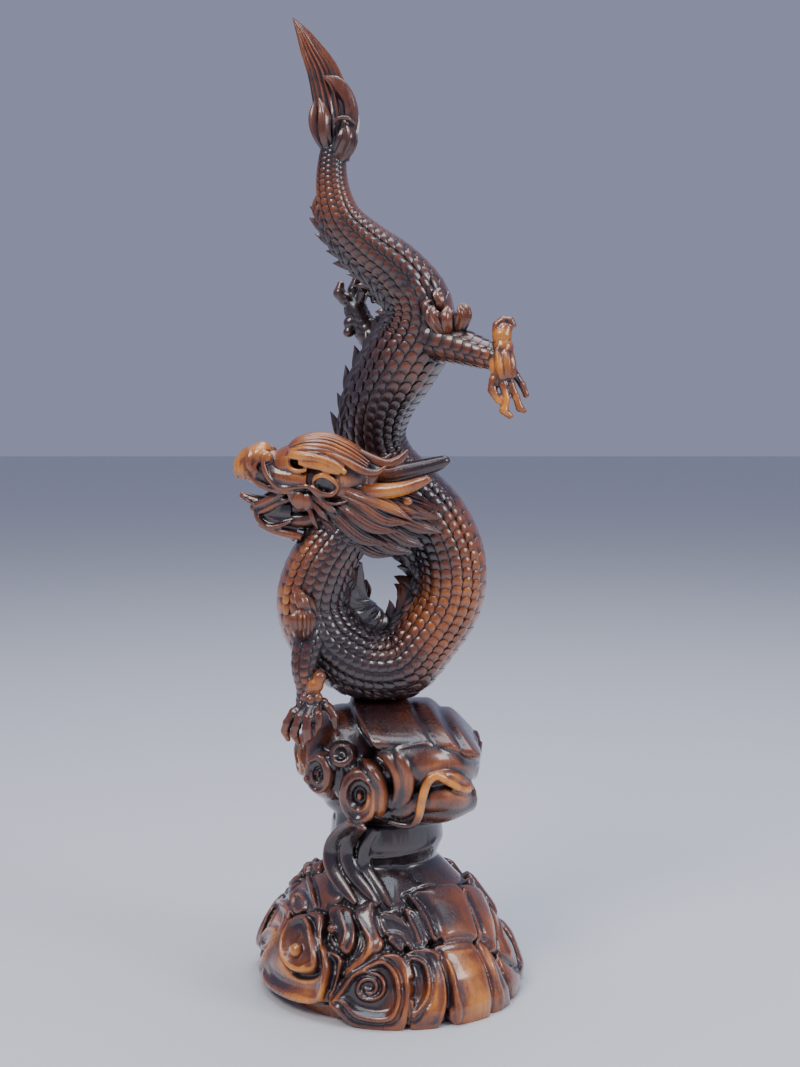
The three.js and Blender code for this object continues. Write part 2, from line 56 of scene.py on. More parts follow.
# The photograph's camera, in millimetres: where it stands, how far it looks down, its frame in pixels
EYE = np.array((5.56, -640.0, 247.0))
LOOK_DOWN = math.radians(5)
FOCAL = 1540.0
FRAME_WIDTH, FRAME_HEIGHT = 800.0, 1067.0
SENSOR_HEIGHT = 36.0
LOOK = np.array((0.0, math.cos(LOOK_DOWN), -math.sin(LOOK_DOWN)))
FRAME_UP = np.array((0.0, math.sin(LOOK_DOWN), math.cos(LOOK_DOWN)))

# The spine, from the back of the skull to the root of the tail tuft: x, y, z, radius
SPINE = np.array([
    (-7.5, -15, 204, 9.5), (-17, -14, 193, 11.8), (-26.5, -11, 179, 13.6), (-30.9, -7, 162.7, 14.2),
    (-25.3, -3, 147, 14.6), (-11.2, 0, 136.6, 14.7), (4.7, 2, 135.9, 15), (16.4, 4, 147, 14.2),
    (25.6, 6, 162, 14.5), (26.5, 8, 179, 14.8), (20, 10, 194.8, 14.8), (9, 13, 207.3, 14.3),
    (-1.3, 15, 219.2, 13.6), (-5.5, 13, 232, 13.2), (-2.5, 10, 246.5, 14.2), (5.6, 7, 260.7, 15.2),
    (13, 5, 273.5, 14.8), (13.4, 3, 286.5, 13.2), (4.7, 2, 299.1, 11.5), (-8, 1, 309.2, 10.2),
    (-17.8, 0, 319.2, 8.6), (-21.9, 0, 331.3, 7), (-22.2, 0, 343.4, 5.8), (-20.2, 0, 353, 5),
], float)
# Shares of the spine's length: where the crest starts, where its flames grow close, and where it ends
CREST_FROM, CREST_CLOSE, CREST_TO = 0.085, 0.46, 0.93
RING_END, TAIL_FROM = 0.5, 0.76  # shares at which the ring ends and the scales grow coarser

# The most triangles in each skin
HEAD_TRIANGLES = 56000
DRAGON_TRIANGLES = 196000
CORE_TRIANGLES = 2000000
PLINTH_TRIANGLES = 180000

HEAD_PLACE = np.array((-24.5, -18.0, 213.0))
HEAD_TURN = np.array(Matrix.Rotation(math.radians(-6), 3, "Z") @ Matrix.Rotation(math.radians(12), 3, "X"))

# Curves and places

def unit(v):
    """The same directions, one long."""
    return v / np.maximum(np.linalg.norm(v, axis=-1, keepdims=True), 1e-9)


def along(points, shares):
    """Places on the smooth curve through the points, at shares of it from 0 to 1."""
    points = np.asarray(points, float)
    last = len(points) - 1
    place = np.clip(np.atleast_1d(shares), 0, 1) * last
    i = np.minimum(place.astype(int), last - 1)
    w = (place - i)[:, None]
    held = np.vstack([2 * points[0] - points[1], points, 2 * points[-1] - points[-2]])
    a, b, c, d = held[i], held[i + 1], held[i + 2], held[i + 3]
    start, end = (c - a) / 2, (d - b) / 2
    return (2 * b - 2 * c + start + end) * w**3 + (3 * c - 3 * b - 2 * start - end) * w**2 + start * w + b


def frames(points, shares, across=DEPTH):
    """Centre, tangent, side and normal along a curve. The side is across, laid square to the curve."""
    shares = np.atleast_1d(shares)
    places = np.asarray(points, float)[:, :3]
    ahead, behind = along(places, shares + 1e-4), along(places, shares - 1e-4)
    tangent = unit(ahead - behind)
    side = unit(across - (tangent * across).sum(-1, keepdims=True) * tangent)
    return along(places, shares), tangent, side, np.cross(side, tangent)


def sight(u, v):
    """The direction from the camera through a pixel of the photograph."""
    return LOOK + np.array((1.0, 0, 0)) * (u - FRAME_WIDTH / 2) / FOCAL + FRAME_UP * (FRAME_HEIGHT / 2
                                                                                      - v) / FOCAL


def at(u, v, y):
    """The place at depth y that the camera sees at a pixel."""
    line = sight(u, v)
    return EYE + line * (y - EYE[1]) / line[1]


def on_head(u, v, out):
    """A pixel on the head's near side, as a place in the head's own frame, out from its middle plane."""
    plane = HEAD_TURN[:, 1]
    line = sight(u, v)
    through = HEAD_PLACE - plane * out
    spot = EYE + line * np.dot(plane, through - EYE) / np.dot(plane, line)
    return HEAD_TURN.T @ (spot - HEAD_PLACE)


def seen_at(*pixels):
    """Stations from pixels of the photograph: u, v, depth, radius."""
    return [(*at(u, v, y), radius) for u, v, y, radius in pixels]


# Legs: stations of x, y, z and radius, then the fingers, then round knobs as stations of their own
LEGS = {
    "near_foreleg": (
        [(-26, -9, 161, 7.5), (-30.8, -15.5, 150.6, 6.4), (-33.4, -18.5, 138.7, 5.2),
         (-32, -18.5, 128.5, 4.6), (-31.7, -18, 118.9, 5.6)],
        [seen_at((304, 706, -21, 2.1), (294.5, 713, -22, 2.2), (288, 723, -22.5, 2.0),
                 (285.5, 731, -22, 1.8), (288, 739, -21, 1.1)),
         seen_at((307, 708, -23, 1.9), (300, 717, -25.5, 2.0), (296.5, 726, -26, 1.8),
                 (294.5, 734, -25.5, 1.8), (298, 742, -24.5, 1.1)),
         seen_at((311, 708, -24, 1.9), (308, 718, -27, 2.1), (307, 729, -28, 1.9), (308, 737, -27.5, 1.7),
                 (304, 743, -26.5, 1.0)),
         seen_at((316, 707, -23, 1.8), (318, 715, -26.5, 2.0), (318, 725, -27, 1.8), (314, 735, -26, 1.0)),
         seen_at((320, 704, -20, 1.8), (328, 708, -22, 2.0), (334, 717, -23, 1.8), (336, 728, -22.5, 1.0)),
         seen_at((312, 693, -21.5, 2.4), (315, 685, -22.5, 3.1), (319.5, 677, -23, 2.4),
                 (319, 671, -22.5, 1.0))],
        seen_at((311, 688, -22.5, 2.6), (305, 697, -22.5, 2.0), (311, 700, -23.5, 2.0),
                (318, 698, -23, 2.1), (324, 702, -21, 1.9), (301, 704, -22, 1.9), (308, 706, -23.5, 1.9),
                (315, 705, -23.5, 1.9)),
    ),
    "far_foreleg": (
        [(-22, 6, 158, 9), (-12, 16, 155, 7.5), (-3, 22, 147, 5.6), (0, 23, 137, 4.6), (1, 22, 129, 4.8)],
        [[(0, 22, 128, 2.4), (-4, 20, 125.5, 2.2), (-8.5, 19, 122.6, 0.6)],
         [(0, 23, 128, 2.4), (-3, 26, 125.5, 2.2), (-6.5, 28.5, 120.5, 0.6)],
         [(2, 23, 128, 2.4), (2.5, 27.5, 125, 2.2), (2.5, 30, 119, 0.6)],
         [(3, 22, 128, 2.4), (6, 24, 125.5, 2.2), (9.5, 25, 121, 0.6)]],
        [],
    ),
    "near_hind_leg": (
        [(14, 2, 273, 10.5), (26, -7, 269.5, 7.8), (37.5, -14, 265.5, 6), (45.5, -17, 262.5, 5),
         (47.6, -18, 256, 4.4)],
        [seen_at((497, 368, -20, 1.8), (494, 380, -21, 1.9), (492.5, 390, -21.5, 1.8), (499, 400, -22, 1.6),
                 (506, 404, -22, 1.2)),
         seen_at((501, 370, -21, 1.8), (503, 385, -22, 1.7), (506, 399, -22.5, 1.6), (504, 410, -22.5, 1.8),
                 (510, 416, -22.5, 1.3)),
         seen_at((507, 370, -20.5, 1.7), (511, 385, -21.5, 1.6), (516, 397, -22, 1.5), (520, 408, -22, 1.6),
                 (524, 411, -22, 1.1)),
         seen_at((510, 364, -18, 1.7), (516, 376, -18.5, 1.6), (522, 385, -18.5, 1.5),
                 (526, 395, -18.5, 1.3)),
         seen_at((495.5, 333, -18.5, 1.6), (497, 325, -18.5, 1.6), (503, 320.5, -18.5, 1.6),
                 (510, 321, -18.5, 1.6), (513, 325, -18.5, 1.4))],
        seen_at((502, 336, -18.5, 4.1), (505, 329, -18.5, 3.0), (503, 348, -19, 4.4),
                (503, 358, -19.5, 4.3)),
    ),
    "far_hind_leg": (
        [(8, 8, 266, 10), (-2.5, 16, 270, 6.4), (-9, 19, 276.5, 5.2), (-13, 19.5, 284, 4.8),
         (-13, 20, 287, 4.6)],
        [[(-14, 19, 286, 2.6), (-17.5, 18, 289, 2.6), (-20, 18, 291.5, 2.4), (-19.5, 18, 295, 1.6)],
         [(-13, 20, 288, 2.4), (-14, 21, 293, 2.5), (-12.5, 22, 297, 2.2), (-11, 22, 298.5, 1.6)],
         [(-12, 19, 288, 2.4), (-8.5, 19, 293, 2.4), (-6, 19, 292, 2.2), (-5.5, 19, 288.5, 1.4)],
         [(-11, 17, 288, 2.3), (-10, 15.5, 292, 2.2), (-8.5, 15, 295, 1.6)]],
        [(-15.5, 18, 279, 3.0), (-16.2, 17.5, 275, 2.4)],
    ),
}

# The near hind palm, with its tendons
PALM = [seen_at((500, 350, -19, 3.6), (502, 358, -20, 4.6), (503, 368, -20.5, 4.9), (505, 379, -20.5, 4.2))]

# Tufts of flame hair at the joints: places, half-width, grooves
TUFTS = [
    (seen_at((303, 635, -20, 0), (302.5, 626, -26, 0), (302, 615, -26.5, 0), (301, 605, -24.5, 0)), 4.7,
     15),
    (seen_at((307, 620, -23, 0), (304, 607, -26.5, 0), (299.5, 596, -26, 0), (297, 587, -24, 0)), 2.4, 6),
    (seen_at((309, 622, -22, 0), (313, 610, -24.5, 0), (308, 600, -25, 0), (303, 594, -24, 0)), 1.7, 5),
    (seen_at((455, 336, -9, 0), (461, 322, -14, 0), (463, 311, -14.5, 0), (459, 303, -13, 0)), 3.1, 13),
    (seen_at((449, 337, -10, 0), (447, 324, -15, 0), (447, 314, -15, 0), (448, 306, -13, 0)), 2.5, 8),
    (seen_at((446, 337, -10, 0), (437, 324, -14, 0), (432, 313, -14, 0), (434, 305, -12, 0)), 2.7, 9),
    (seen_at((440, 331, -8, 0), (430, 316, -12, 0), (426, 304, -12, 0), (433, 300, -11, 0)), 1.9, 6),
    (seen_at((441, 318, -8, 0), (440, 303, -11, 0), (437, 293, -10, 0), (441, 288, -9, 0)), 1.9, 6),
    ([(14, 13, 273), (11, 17, 277), (9, 17.5, 282), (9, 16, 286)], 3.0, 9),
    ([(17, 13, 273), (17, 17, 278), (18, 17.5, 283), (17, 16, 287)], 3.2, 9),
    ([(19, 12, 272), (23, 15, 276), (24.5, 15.5, 280), (24, 14, 284)], 2.8, 9),
    ([(-13, 20, 153), (-17, 23, 158), (-18, 23, 163), (-17, 21.5, 167)], 3.4, 10),
    ([(-10, 21, 154), (-11, 25, 160), (-10, 25, 165), (-9, 23.5, 169)], 3.0, 9),
]


# The lower cloud's core and the bowl-shaped waist on it: radius and height
SKIRT_PROFILE = [(48, 0), (50, 6), (49, 16), (43.5, 28), (33.5, 42), (24, 52), (20.5, 55), (24, 63),
                 (23, 72)]
SWELL, SWELL_BEARING, SWELL_WIDTH = 6.0, -105.0, 34.0
FOOT_SHIFT = np.array((6.0, -3.0))
FOOT_HEIGHT = 22.0

CARVED_DEPTH = 3.0

# The upper cloud's bands wrap over its top and down to their front edge: y, z
STAVE = np.array([
    (-31.5, 106.8), (-27, 112), (-16, 118), (-2, 122), (14, 121.5), (25, 114), (30, 100), (27, 84),
    (14, 84), (-8, 92), (-20, 102),
], float)
LEAN, LEAN_FROM = 0.8, 102.0
# Each band's left and right ends, its size beside the first, and how much higher it stands
BANDS = [(-2.5, 26, 1.0, 0.0), (24, 33.5, 0.96, -0.5), (31, 39, 0.9, -3.5)]

# Curls of the upper cloud: centre, outward direction, radius, hand, height over width, depth
UPPER_CURLS = [
    (at(359, 797, -31), (-0.22, -1, -0.1), 9.0, 1, 1.36, 14),
    (at(317, 774, -27), (-0.5, -1, -0.05), 6.4, -1, 1.4, 14),
    (at(341, 755, -27.5), (-0.25, -1, 0.3), 5.6, 1, 1.0, 8),
]
UPPER_BACK_CURLS = [
    ((-34, -7, 99), (-1, -0.45, 0), 8, 1, 1.2, 8), ((-32, 13, 94), (-1, 0.5, -0.1), 11, -1, 1.0, 10),
    ((-14, 25, 94), (-0.3, 1, 0), 11, 1, 1.0, 9), ((10, 29, 98), (0.1, 1, 0), 11, -1, 1.0, 9),
    ((31, 16, 93), (0.9, 0.8, 0), 10, 1, 1.0, 9),
]
# Lobes and lines on the upper cloud, given as those of the lower cloud are
UPPER_LOBES = [
    ([(362, 765), (372, 764), (383, 769), (391, 780), (392, 797), (384, 815), (378, 822), (380, 806),
      (380, 790), (373, 779)],
     2.0, 0, 0, 1.0, 0, 0),
]
UPPER_LINES = [
    ([(296, 745), (297, 765), (303, 783)], 1.6, 1.2),
    ([(351, 702), (356, 716), (363, 730), (372, 745), (381, 752)], 1.1, 0.7),
    ([(392, 748), (414, 743), (436, 741)], 1.1, 0.6),
]


# Curls on the sides and back that the photograph doesn't show, and how far they stand out:
# bearing, height, radius, hand, height over width
CURLS_PROUD = 3.4
BACK_CURLS = [
    (-114, 17, 14, -1, 1.1), (-101, 41, 8, 1, 1.0), (-149, 17, 14, 1, 1.1),
    (176, 17, 14, -1, 1.1), (143, 17, 13, 1, 1.1), (-150, 41, 10, 1, 1.0), (176, 42, 9, -1, 1.0),
]
# Slabs between those curls and round the right side: bearing, top, bottom, half-width in degrees, height
BACK_SLABS = [(bearing, 46, 25, 9, 2.6) for bearing in range(146, 262, 17)]
BACK_SLABS += [(bearing, 24, 0.5, 8, 3.0) for bearing in range(138, 262, 15)]
SIDE_SLABS = [
    (84, 43, 24, 8, 3.6), (79, 23, 0.5, 7.5, 3.2), (97, 22, 0.5, 7.5, 3.4), (105, 42, 23, 9, 3.2),
    (117, 23, 0.5, 8, 3.6), (131, 44, 32, 10, 3.0),
]


# Shapes

_moulds = {}


def mould(name, make):
    """A shape that is made once and then bent to each of its places: its mesh and its points."""
    if name not in _moulds:
        bm = bmesh.new()
        make(bm)
        mesh = bpy.data.meshes.new(name)
        bm.to_mesh(mesh)
        bm.free()
        places = np.empty(3 * len(mesh.vertices))
        mesh.vertices.foreach_get("co", places)
        _moulds[name] = (mesh, places.reshape(-1, 3))
    return _moulds[name]


def rod(sides, steps):
    """A closed round rod, one long, in rings."""
    def make(bm):
        bmesh.ops.create_cone(bm, cap_ends=True, segments=sides, radius1=1, radius2=1, depth=1)
        upright = [e for e in bm.edges if abs(e.verts[0].co.z - e.verts[1].co.z) > 0.5]
        bmesh.ops.subdivide_edges(bm, edges=upright, cuts=steps - 1, use_grid_fill=True)
    return mould(f"rod_{sides}_{steps}", make)


def round_ball(detail):
    return mould(f"ball_{detail}", lambda bm: bmesh.ops.create_icosphere(bm, subdivisions=detail, radius=1))


def tile(corners):
    """A low round tile: a sunk foot, an upper edge, a step in from it and a raised middle."""
    def make(bm):
        bmesh.ops.create_cone(bm, cap_ends=True, segments=corners, radius1=1, radius2=0.94, depth=1)
        top = max(bm.faces, key=lambda f: f.calc_center_median().z)
        bmesh.ops.inset_region(bm, faces=[top], thickness=0.3, depth=0.32)
        bmesh.ops.poke(bm, faces=[top], offset=0.16)
    return mould(f"tile_{corners}", make)


class Block:
    """Closed shapes put together in one mesh, in millimetres."""

    def __init__(self):
        self.bm = bmesh.new()

    def add(self, shape, places):
        """Adds a mould, with its points at the places."""
        shape[0].vertices.foreach_set("co", np.ascontiguousarray(places, np.float32).ravel())
        self.bm.from_mesh(shape[0])

    def ball(self, centre, radii, detail=3):
        """A round or oval ball."""
        shape = round_ball(detail)
        self.add(shape, shape[1] * np.asarray(radii, float) + np.asarray(centre, float))

    def bar(self, stations, sides=12, steps=14, across=DEPTH, flat=1.0, square=1.0, flutes=0, deep=0.0,
            keel=0.0):
        """A bar of changing girth along stations of x, y, z and radius, fluted along its length if asked.
        Flat is its girth across as a share of the other, and square under 1 gives it flatter faces."""
        stations = np.asarray(stations, float)
        shape = rod(sides, steps)
        share = shape[1][:, 2] + 0.5
        angle = np.arctan2(shape[1][:, 1], shape[1][:, 0])
        centre, _, side, normal = frames(stations, share, across)
        radius = np.maximum(along(stations[:, 3:4], share), 0.05)
        ripple = (1 + deep * np.cos(flutes * angle + keel * share))[:, None]
        c, s = np.cos(angle)[:, None], np.sin(angle)[:, None]
        c, s = np.sign(c) * np.abs(c) ** square, np.sign(s) * np.abs(s) ** square
        self.add(shape, centre + (side * c * flat + normal * s) * radius * ripple)

    def lock(self, places, width, flat=0.5, sides=16, steps=12, across=DEPTH, flutes=7, deep=0.1, root=0.6,
             keel=0.0):
        """A pointed, grooved lock of hair through its places."""
        last = len(places) - 1
        girths = [width * (root if i == 0 else 1.0 if i < last else 0.06) for i in range(last + 1)]
        stations = [(*place[:3], girth) for place, girth in zip(places, girths)]
        self.bar(stations, sides, steps, across, flat, 1.0, flutes, deep, keel)

    def moved(self, turn, place):
        """The same block, turned and then moved to its place."""
        grid = np.eye(4)
        grid[:3, :3], grid[:3, 3] = turn, place
        bmesh.ops.transform(self.bm, matrix=Matrix(grid.tolist()), verts=self.bm.verts)
        return self

    def mesh(self, name):
        """The block's shapes in one mesh that faces outwards. The block is used up."""
        bmesh.ops.recalc_face_normals(self.bm, faces=self.bm.faces)
        made = bpy.data.meshes.new(name)
        self.bm.to_mesh(made)
        self.bm.free()
        return made


def shown(mesh, modifiers):
    """The mesh as modifiers, given as kinds and settings, leave it. The mesh given is used up."""
    thing = bpy.data.objects.new(mesh.name, mesh)
    bpy.context.scene.collection.objects.link(thing)
    for kind, settings in modifiers:
        modifier = thing.modifiers.new(kind, kind)
        for name, value in settings.items():
            setattr(modifier, name, value)
    made = bpy.data.meshes.new_from_object(thing.evaluated_get(bpy.context.evaluated_depsgraph_get()))
    bpy.data.objects.remove(thing)
    bpy.data.meshes.remove(mesh)
    return made


def thinned(mesh, faces):
    """The mesh in no more than about that many triangles."""
    have = sum(len(face.vertices) - 2 for face in mesh.polygons)
    return shown(mesh, [("DECIMATE", {"ratio": faces / have})]) if have > faces else mesh


def melted(block, voxel, faces, smooth=2):
    """The block's shapes run together into one skin, a little worn, in about that many triangles."""
    steps = [("REMESH", {"mode": "VOXEL", "voxel_size": voxel, "adaptivity": 0.0}),
             ("SMOOTH", {"factor": 0.5, "iterations": smooth})]
    return thinned(shown(block.mesh("melted"), steps), faces)


# Scales

class Skin:
    """The surface of a round limb, in distance along it and angle round it from its back line."""

    def __init__(self, stations, across=DEPTH):
        self.stations, self.across = np.asarray(stations, float), across
        self.shares = np.linspace(0, 1, 900)
        places = along(self.stations[:, :3], self.shares)
        self.run = np.concatenate([[0], np.cumsum(np.linalg.norm(np.diff(places, axis=0), axis=1))])
        self.length = self.run[-1]

    def girth(self, run):
        """The limb's radius at distances along it."""
        return along(self.stations[:, 3:4], np.interp(run, self.run, self.shares))[:, 0]

    def place(self, run, angle, lift):
        """Places at distances along the limb and angles round it, lifted off its skin."""
        share = np.interp(run, self.run, self.shares)
        centre, _, side, normal = frames(self.stations, share, self.across)
        radius = (along(self.stations[:, 3:4], share)[:, 0] + lift)[:, None]
        out = -normal * np.cos(angle)[:, None] - side * np.sin(angle)[:, None]
        return centre + out * radius

    def spot(self, run, angle, lift):
        """One such place."""
        return self.place(np.array([run]), np.array([angle]), np.array([lift]))[0]

    def beats(self, start, end, pitch, offset=0.0):
        """Distances along the limb, one for each row, spaced by pitch times the girth."""
        count = np.concatenate([[0], np.cumsum(np.diff(self.run) / (pitch * (self.girth(self.run[1:]))))])
        first, last = np.interp([start, end], self.run, count)
        return np.interp(np.arange(first + offset, last, 1.0), count, self.run)


def shingles(block, skin, angles, start, end, pitch, wide, long=1.7, proud=0.08, sunk=0.5, corners=12,
             boxy=0.45, crowd=0.0):
    """Overlapping scales in columns at the angles, half a scale apart from column to column. Each scale's
    free, rounded end points along the limb and stands proud. Crowd sets them closer on the belly side."""
    shape = tile(corners)
    x, y, z = shape[1].T
    reach = np.maximum(np.hypot(x, y), 1e-6)
    corner = np.maximum(np.maximum(np.abs(x), np.abs(y)) / reach, 0.7)
    x, y = x / corner ** (1 - boxy), y / corner ** np.where(y < 0, 1 - boxy, (1 - boxy) * 0.5)
    low, high = z.min(), z.max()
    height = (z - low) / (high - low)
    for column, angle in enumerate(angles):
        closer = pitch * (1 - crowd * (1 - math.cos(angle)) / 2)
        for run in skin.beats(start, end, closer, 0.5 * (column % 2)):
            girth = skin.girth(np.array([run]))[0]
            reach_along = closer * girth * long / 2
            runs = run + y * reach_along
            tilt = (y * 0.5 + 0.5) ** 0.8
            lift = -sunk + height * (sunk - 0.25 + (0.25 + proud * girth) * tilt)
            block.add(shape, skin.place(np.clip(runs, 0, skin.length), angle + x * wide / 2, lift))


# The dragon

def body_block(sizes):
    """The body, with scales on its flanks and broad plates along its belly."""
    block = Block()
    skin = Skin(SPINE)
    block.bar(SPINE, sides=24, steps=110)
    step = math.radians(sizes.flank) / sizes.columns
    first = math.radians(sizes.crest_room)
    ring_end, tail_from = (skin.run[np.searchsorted(skin.shares, share)] for share in (RING_END, TAIL_FROM))
    coarse = math.radians(sizes.flank) / (sizes.columns - 2)
    zones = ((8.0, ring_end, sizes.columns, step, 1.0, 10, 0.45),
             (ring_end, tail_from, sizes.columns, step, 0.86, 10, 0.0),
             (tail_from, skin.length - 4, sizes.columns - 2, coarse, 1.0, 8, 0.0))
    for side in (1, -1):
        for start, end, count, width, share, corners, crowd in zones:
            angles = [side * (first + width * (k + 0.5)) for k in range(count)]
            shingles(block, skin, angles, start, end, sizes.scale_pitch * share, width * 1.02, 1.6, 0.135,
                     corners=corners, crowd=crowd)
    belly = 2 * math.pi - 2 * (first + math.radians(sizes.flank))
    shingles(block, skin, [math.pi], 10.0, skin.length - 4, sizes.belly_pitch, belly * 1.05, 1.7, 0.06, 0.5,
             14, 0.55)
    return block


def crest_block(sizes):
    """Flames that lean towards the tail, with strands of hair that sweep off them onto the flanks."""
    block = Block()
    skin = Skin(SPINE)
    ring_end = skin.length * CREST_CLOSE
    in_ring = skin.beats(skin.length * CREST_FROM, ring_end, 0.82)
    beyond = skin.beats(ring_end, skin.length * CREST_TO, 0.54)
    for i, run in enumerate((*in_ring, *beyond)):
        girth = skin.girth(np.array([run]))[0]
        share = 1.12 if run < ring_end else max(0.66, 1 - (run - ring_end) / 70)
        tall = sizes.crest * (0.4 + 0.6 * girth / 15) * (1 + 0.16 * math.sin(2.4 * i)) * share
        sway = 0.05 * math.sin(1.7 * i)
        steps = [(-tall * 1.1, 0.0, -1.5, 0.4), (0.0, sway, tall * 0.22, 0.5),
                 (tall * 0.5, sway, tall * 0.6, 0.36), (tall * 0.85, sway * 0.5, tall * 0.9, 0.2),
                 (tall * 1.15, 0.0, tall * 1.22, 0.02)]
        flame = [(*skin.spot(run + r, a, h), tall * w) for r, a, h, w in steps]
        block.bar(flame, 18, 9, flat=0.5, flutes=6, deep=0.16, keel=0.6)
        for side in (1, -1):
            for j, (spread, back) in enumerate(((0.13, 0.0), (0.3, -2.2), (0.46, -4.6))):
                reach = girth * (0.62 - 0.08 * j)
                steps = [(back - reach * 0.6, spread * 0.35, -0.3), (back, spread * 0.8, 1.15 - 0.2 * j),
                         (back + reach * 0.6, spread * 1.05, 0.9 - 0.2 * j),
                         (back + reach * 1.25, spread * 1.0, 0.1)]
                places = [skin.spot(run + r, side * a, h) for r, a, h in steps]
                block.lock(places, 0.95 + 0.035 * girth, flat=0.75, sides=6, steps=6, flutes=3, deep=0.14)
    return block


def legs_block():
    """Limbs with knuckled fingers and round knobs, to be melted together."""
    block = Block()
    for stations, fingers, knobs in LEGS.values():
        block.bar(stations, sides=20, steps=24)
        block.ball(stations[0][:3], (stations[0][3] * 0.99,) * 3, 4)
        for finger in fingers:
            block.bar(finger, 14, 20)
            for x, y, z, radius in finger[1:-1]:
                block.ball((x, y, z), (radius * 1.16,) * 3)
            x, y, z, radius = finger[-1]
            block.ball((x, y, z), (radius * 1.05,) * 3)
        for x, y, z, radius in knobs:
            block.ball((x, y, z), (radius,) * 3)
    for pixels in PALM:
        block.bar(pixels, 28, 24, flutes=7, deep=0.16)
    return block


def leg_scales_block():
    """Eight columns of scales round each limb."""
    block = Block()
    width = 2 * math.pi / 8
    for stations, _, _ in LEGS.values():
        skin = Skin(stations)
        angles = [width * k for k in range(8)]
        shingles(block, skin, angles, 0.5, skin.length * 0.95, 0.62, width * 1.02, 1.6, 0.14, 0.4, 8)
    return block


def tuft_block():
    """Grooved tufts of flame hair at the joints."""
    block = Block()
    for places, width, flutes in TUFTS:
        block.lock(places, width, flat=0.7, sides=3 * flutes, steps=10, flutes=flutes, deep=0.14, root=0.75,
                   keel=0.5)
    return block


# The tail's flame, then the leaves that wrap it: pixels, depths, radii
TAIL_FLAME = seen_at(
    (338, 162, 0, 4.4), (337, 148, 0, 5.6), (336, 130, 0, 7.4), (333.5, 112, 0, 7.6), (330, 95, 0, 7.0),
    (322.5, 71, 0, 5.9), (311.5, 50, 0, 4.3), (303, 34, 0, 2.6), (293, 18, 0, 0.3))
TAIL_LEAVES = [
    (seen_at((333, 158, -3, 0), (349, 128, -5, 0), (349, 103, -4.5, 0), (337, 84, -5, 0), (323, 76, -6, 0)),
     2.9, 5),
    (seen_at((334, 160, -3, 0), (342, 150, -5, 0), (347, 136, -6.5, 0), (344, 119, -6.5, 0)), 3.9, 9),
    (seen_at((330, 156, -1, 0), (318, 134, -2.5, 0), (314.5, 116, -2.5, 0), (316, 97, -1.5, 0)), 2.3, 5),
    (seen_at((330, 152, -3, 0), (325, 135, -6, 0), (324, 115, -6.5, 0), (319, 98, -5.5, 0)), 2.4, 6),
    (seen_at((340, 158, 3, 0), (349, 130, 5, 0), (345, 105, 5.5, 0), (333, 85, 5, 0)), 3.6, 8),
    (seen_at((334, 158, 3, 0), (324, 130, 5.5, 0), (322, 108, 5.5, 0), (317, 88, 4, 0)), 3.4, 8),
]


def tail_block():
    """The flame of hair that ends the tail, and the leaves that wrap it."""
    block = Block()
    block.bar(TAIL_FLAME, 76, 48, flat=0.72, flutes=19, deep=0.085, keel=2.4)
    for places, width, flutes in TAIL_LEAVES:
        block.lock(places, width, flat=0.7, sides=4 * flutes, steps=15, flutes=flutes, deep=0.14, keel=0.8)
    rim = seen_at((333, 123, -8.5, 0.5), (339, 118, -9.5, 0.8), (348, 118.5, -9, 0.85), (355, 124, -7, 0.6))
    block.bar(rim, 10, 24)
    return block


# The head is drawn in its own frame: x back from the snout, y to the far side, z up

def flipped(places):
    """The same places on the head's far side."""
    return [(p[0], -p[1], *p[2:]) for p in places]


def head_line(*pixels):
    """Stations on the near side from pixels of the photograph: u, v, out from the middle, radius."""
    return [(*on_head(u, v, out), radius) for u, v, out, radius in pixels]


FOREHEAD = head_line((291, 455, 0, 3.4), (303, 450, 0, 4.8), (324, 449, 0, 5.6), (346, 457, 0, 5.4),
                     (366, 468, 0, 4.4))


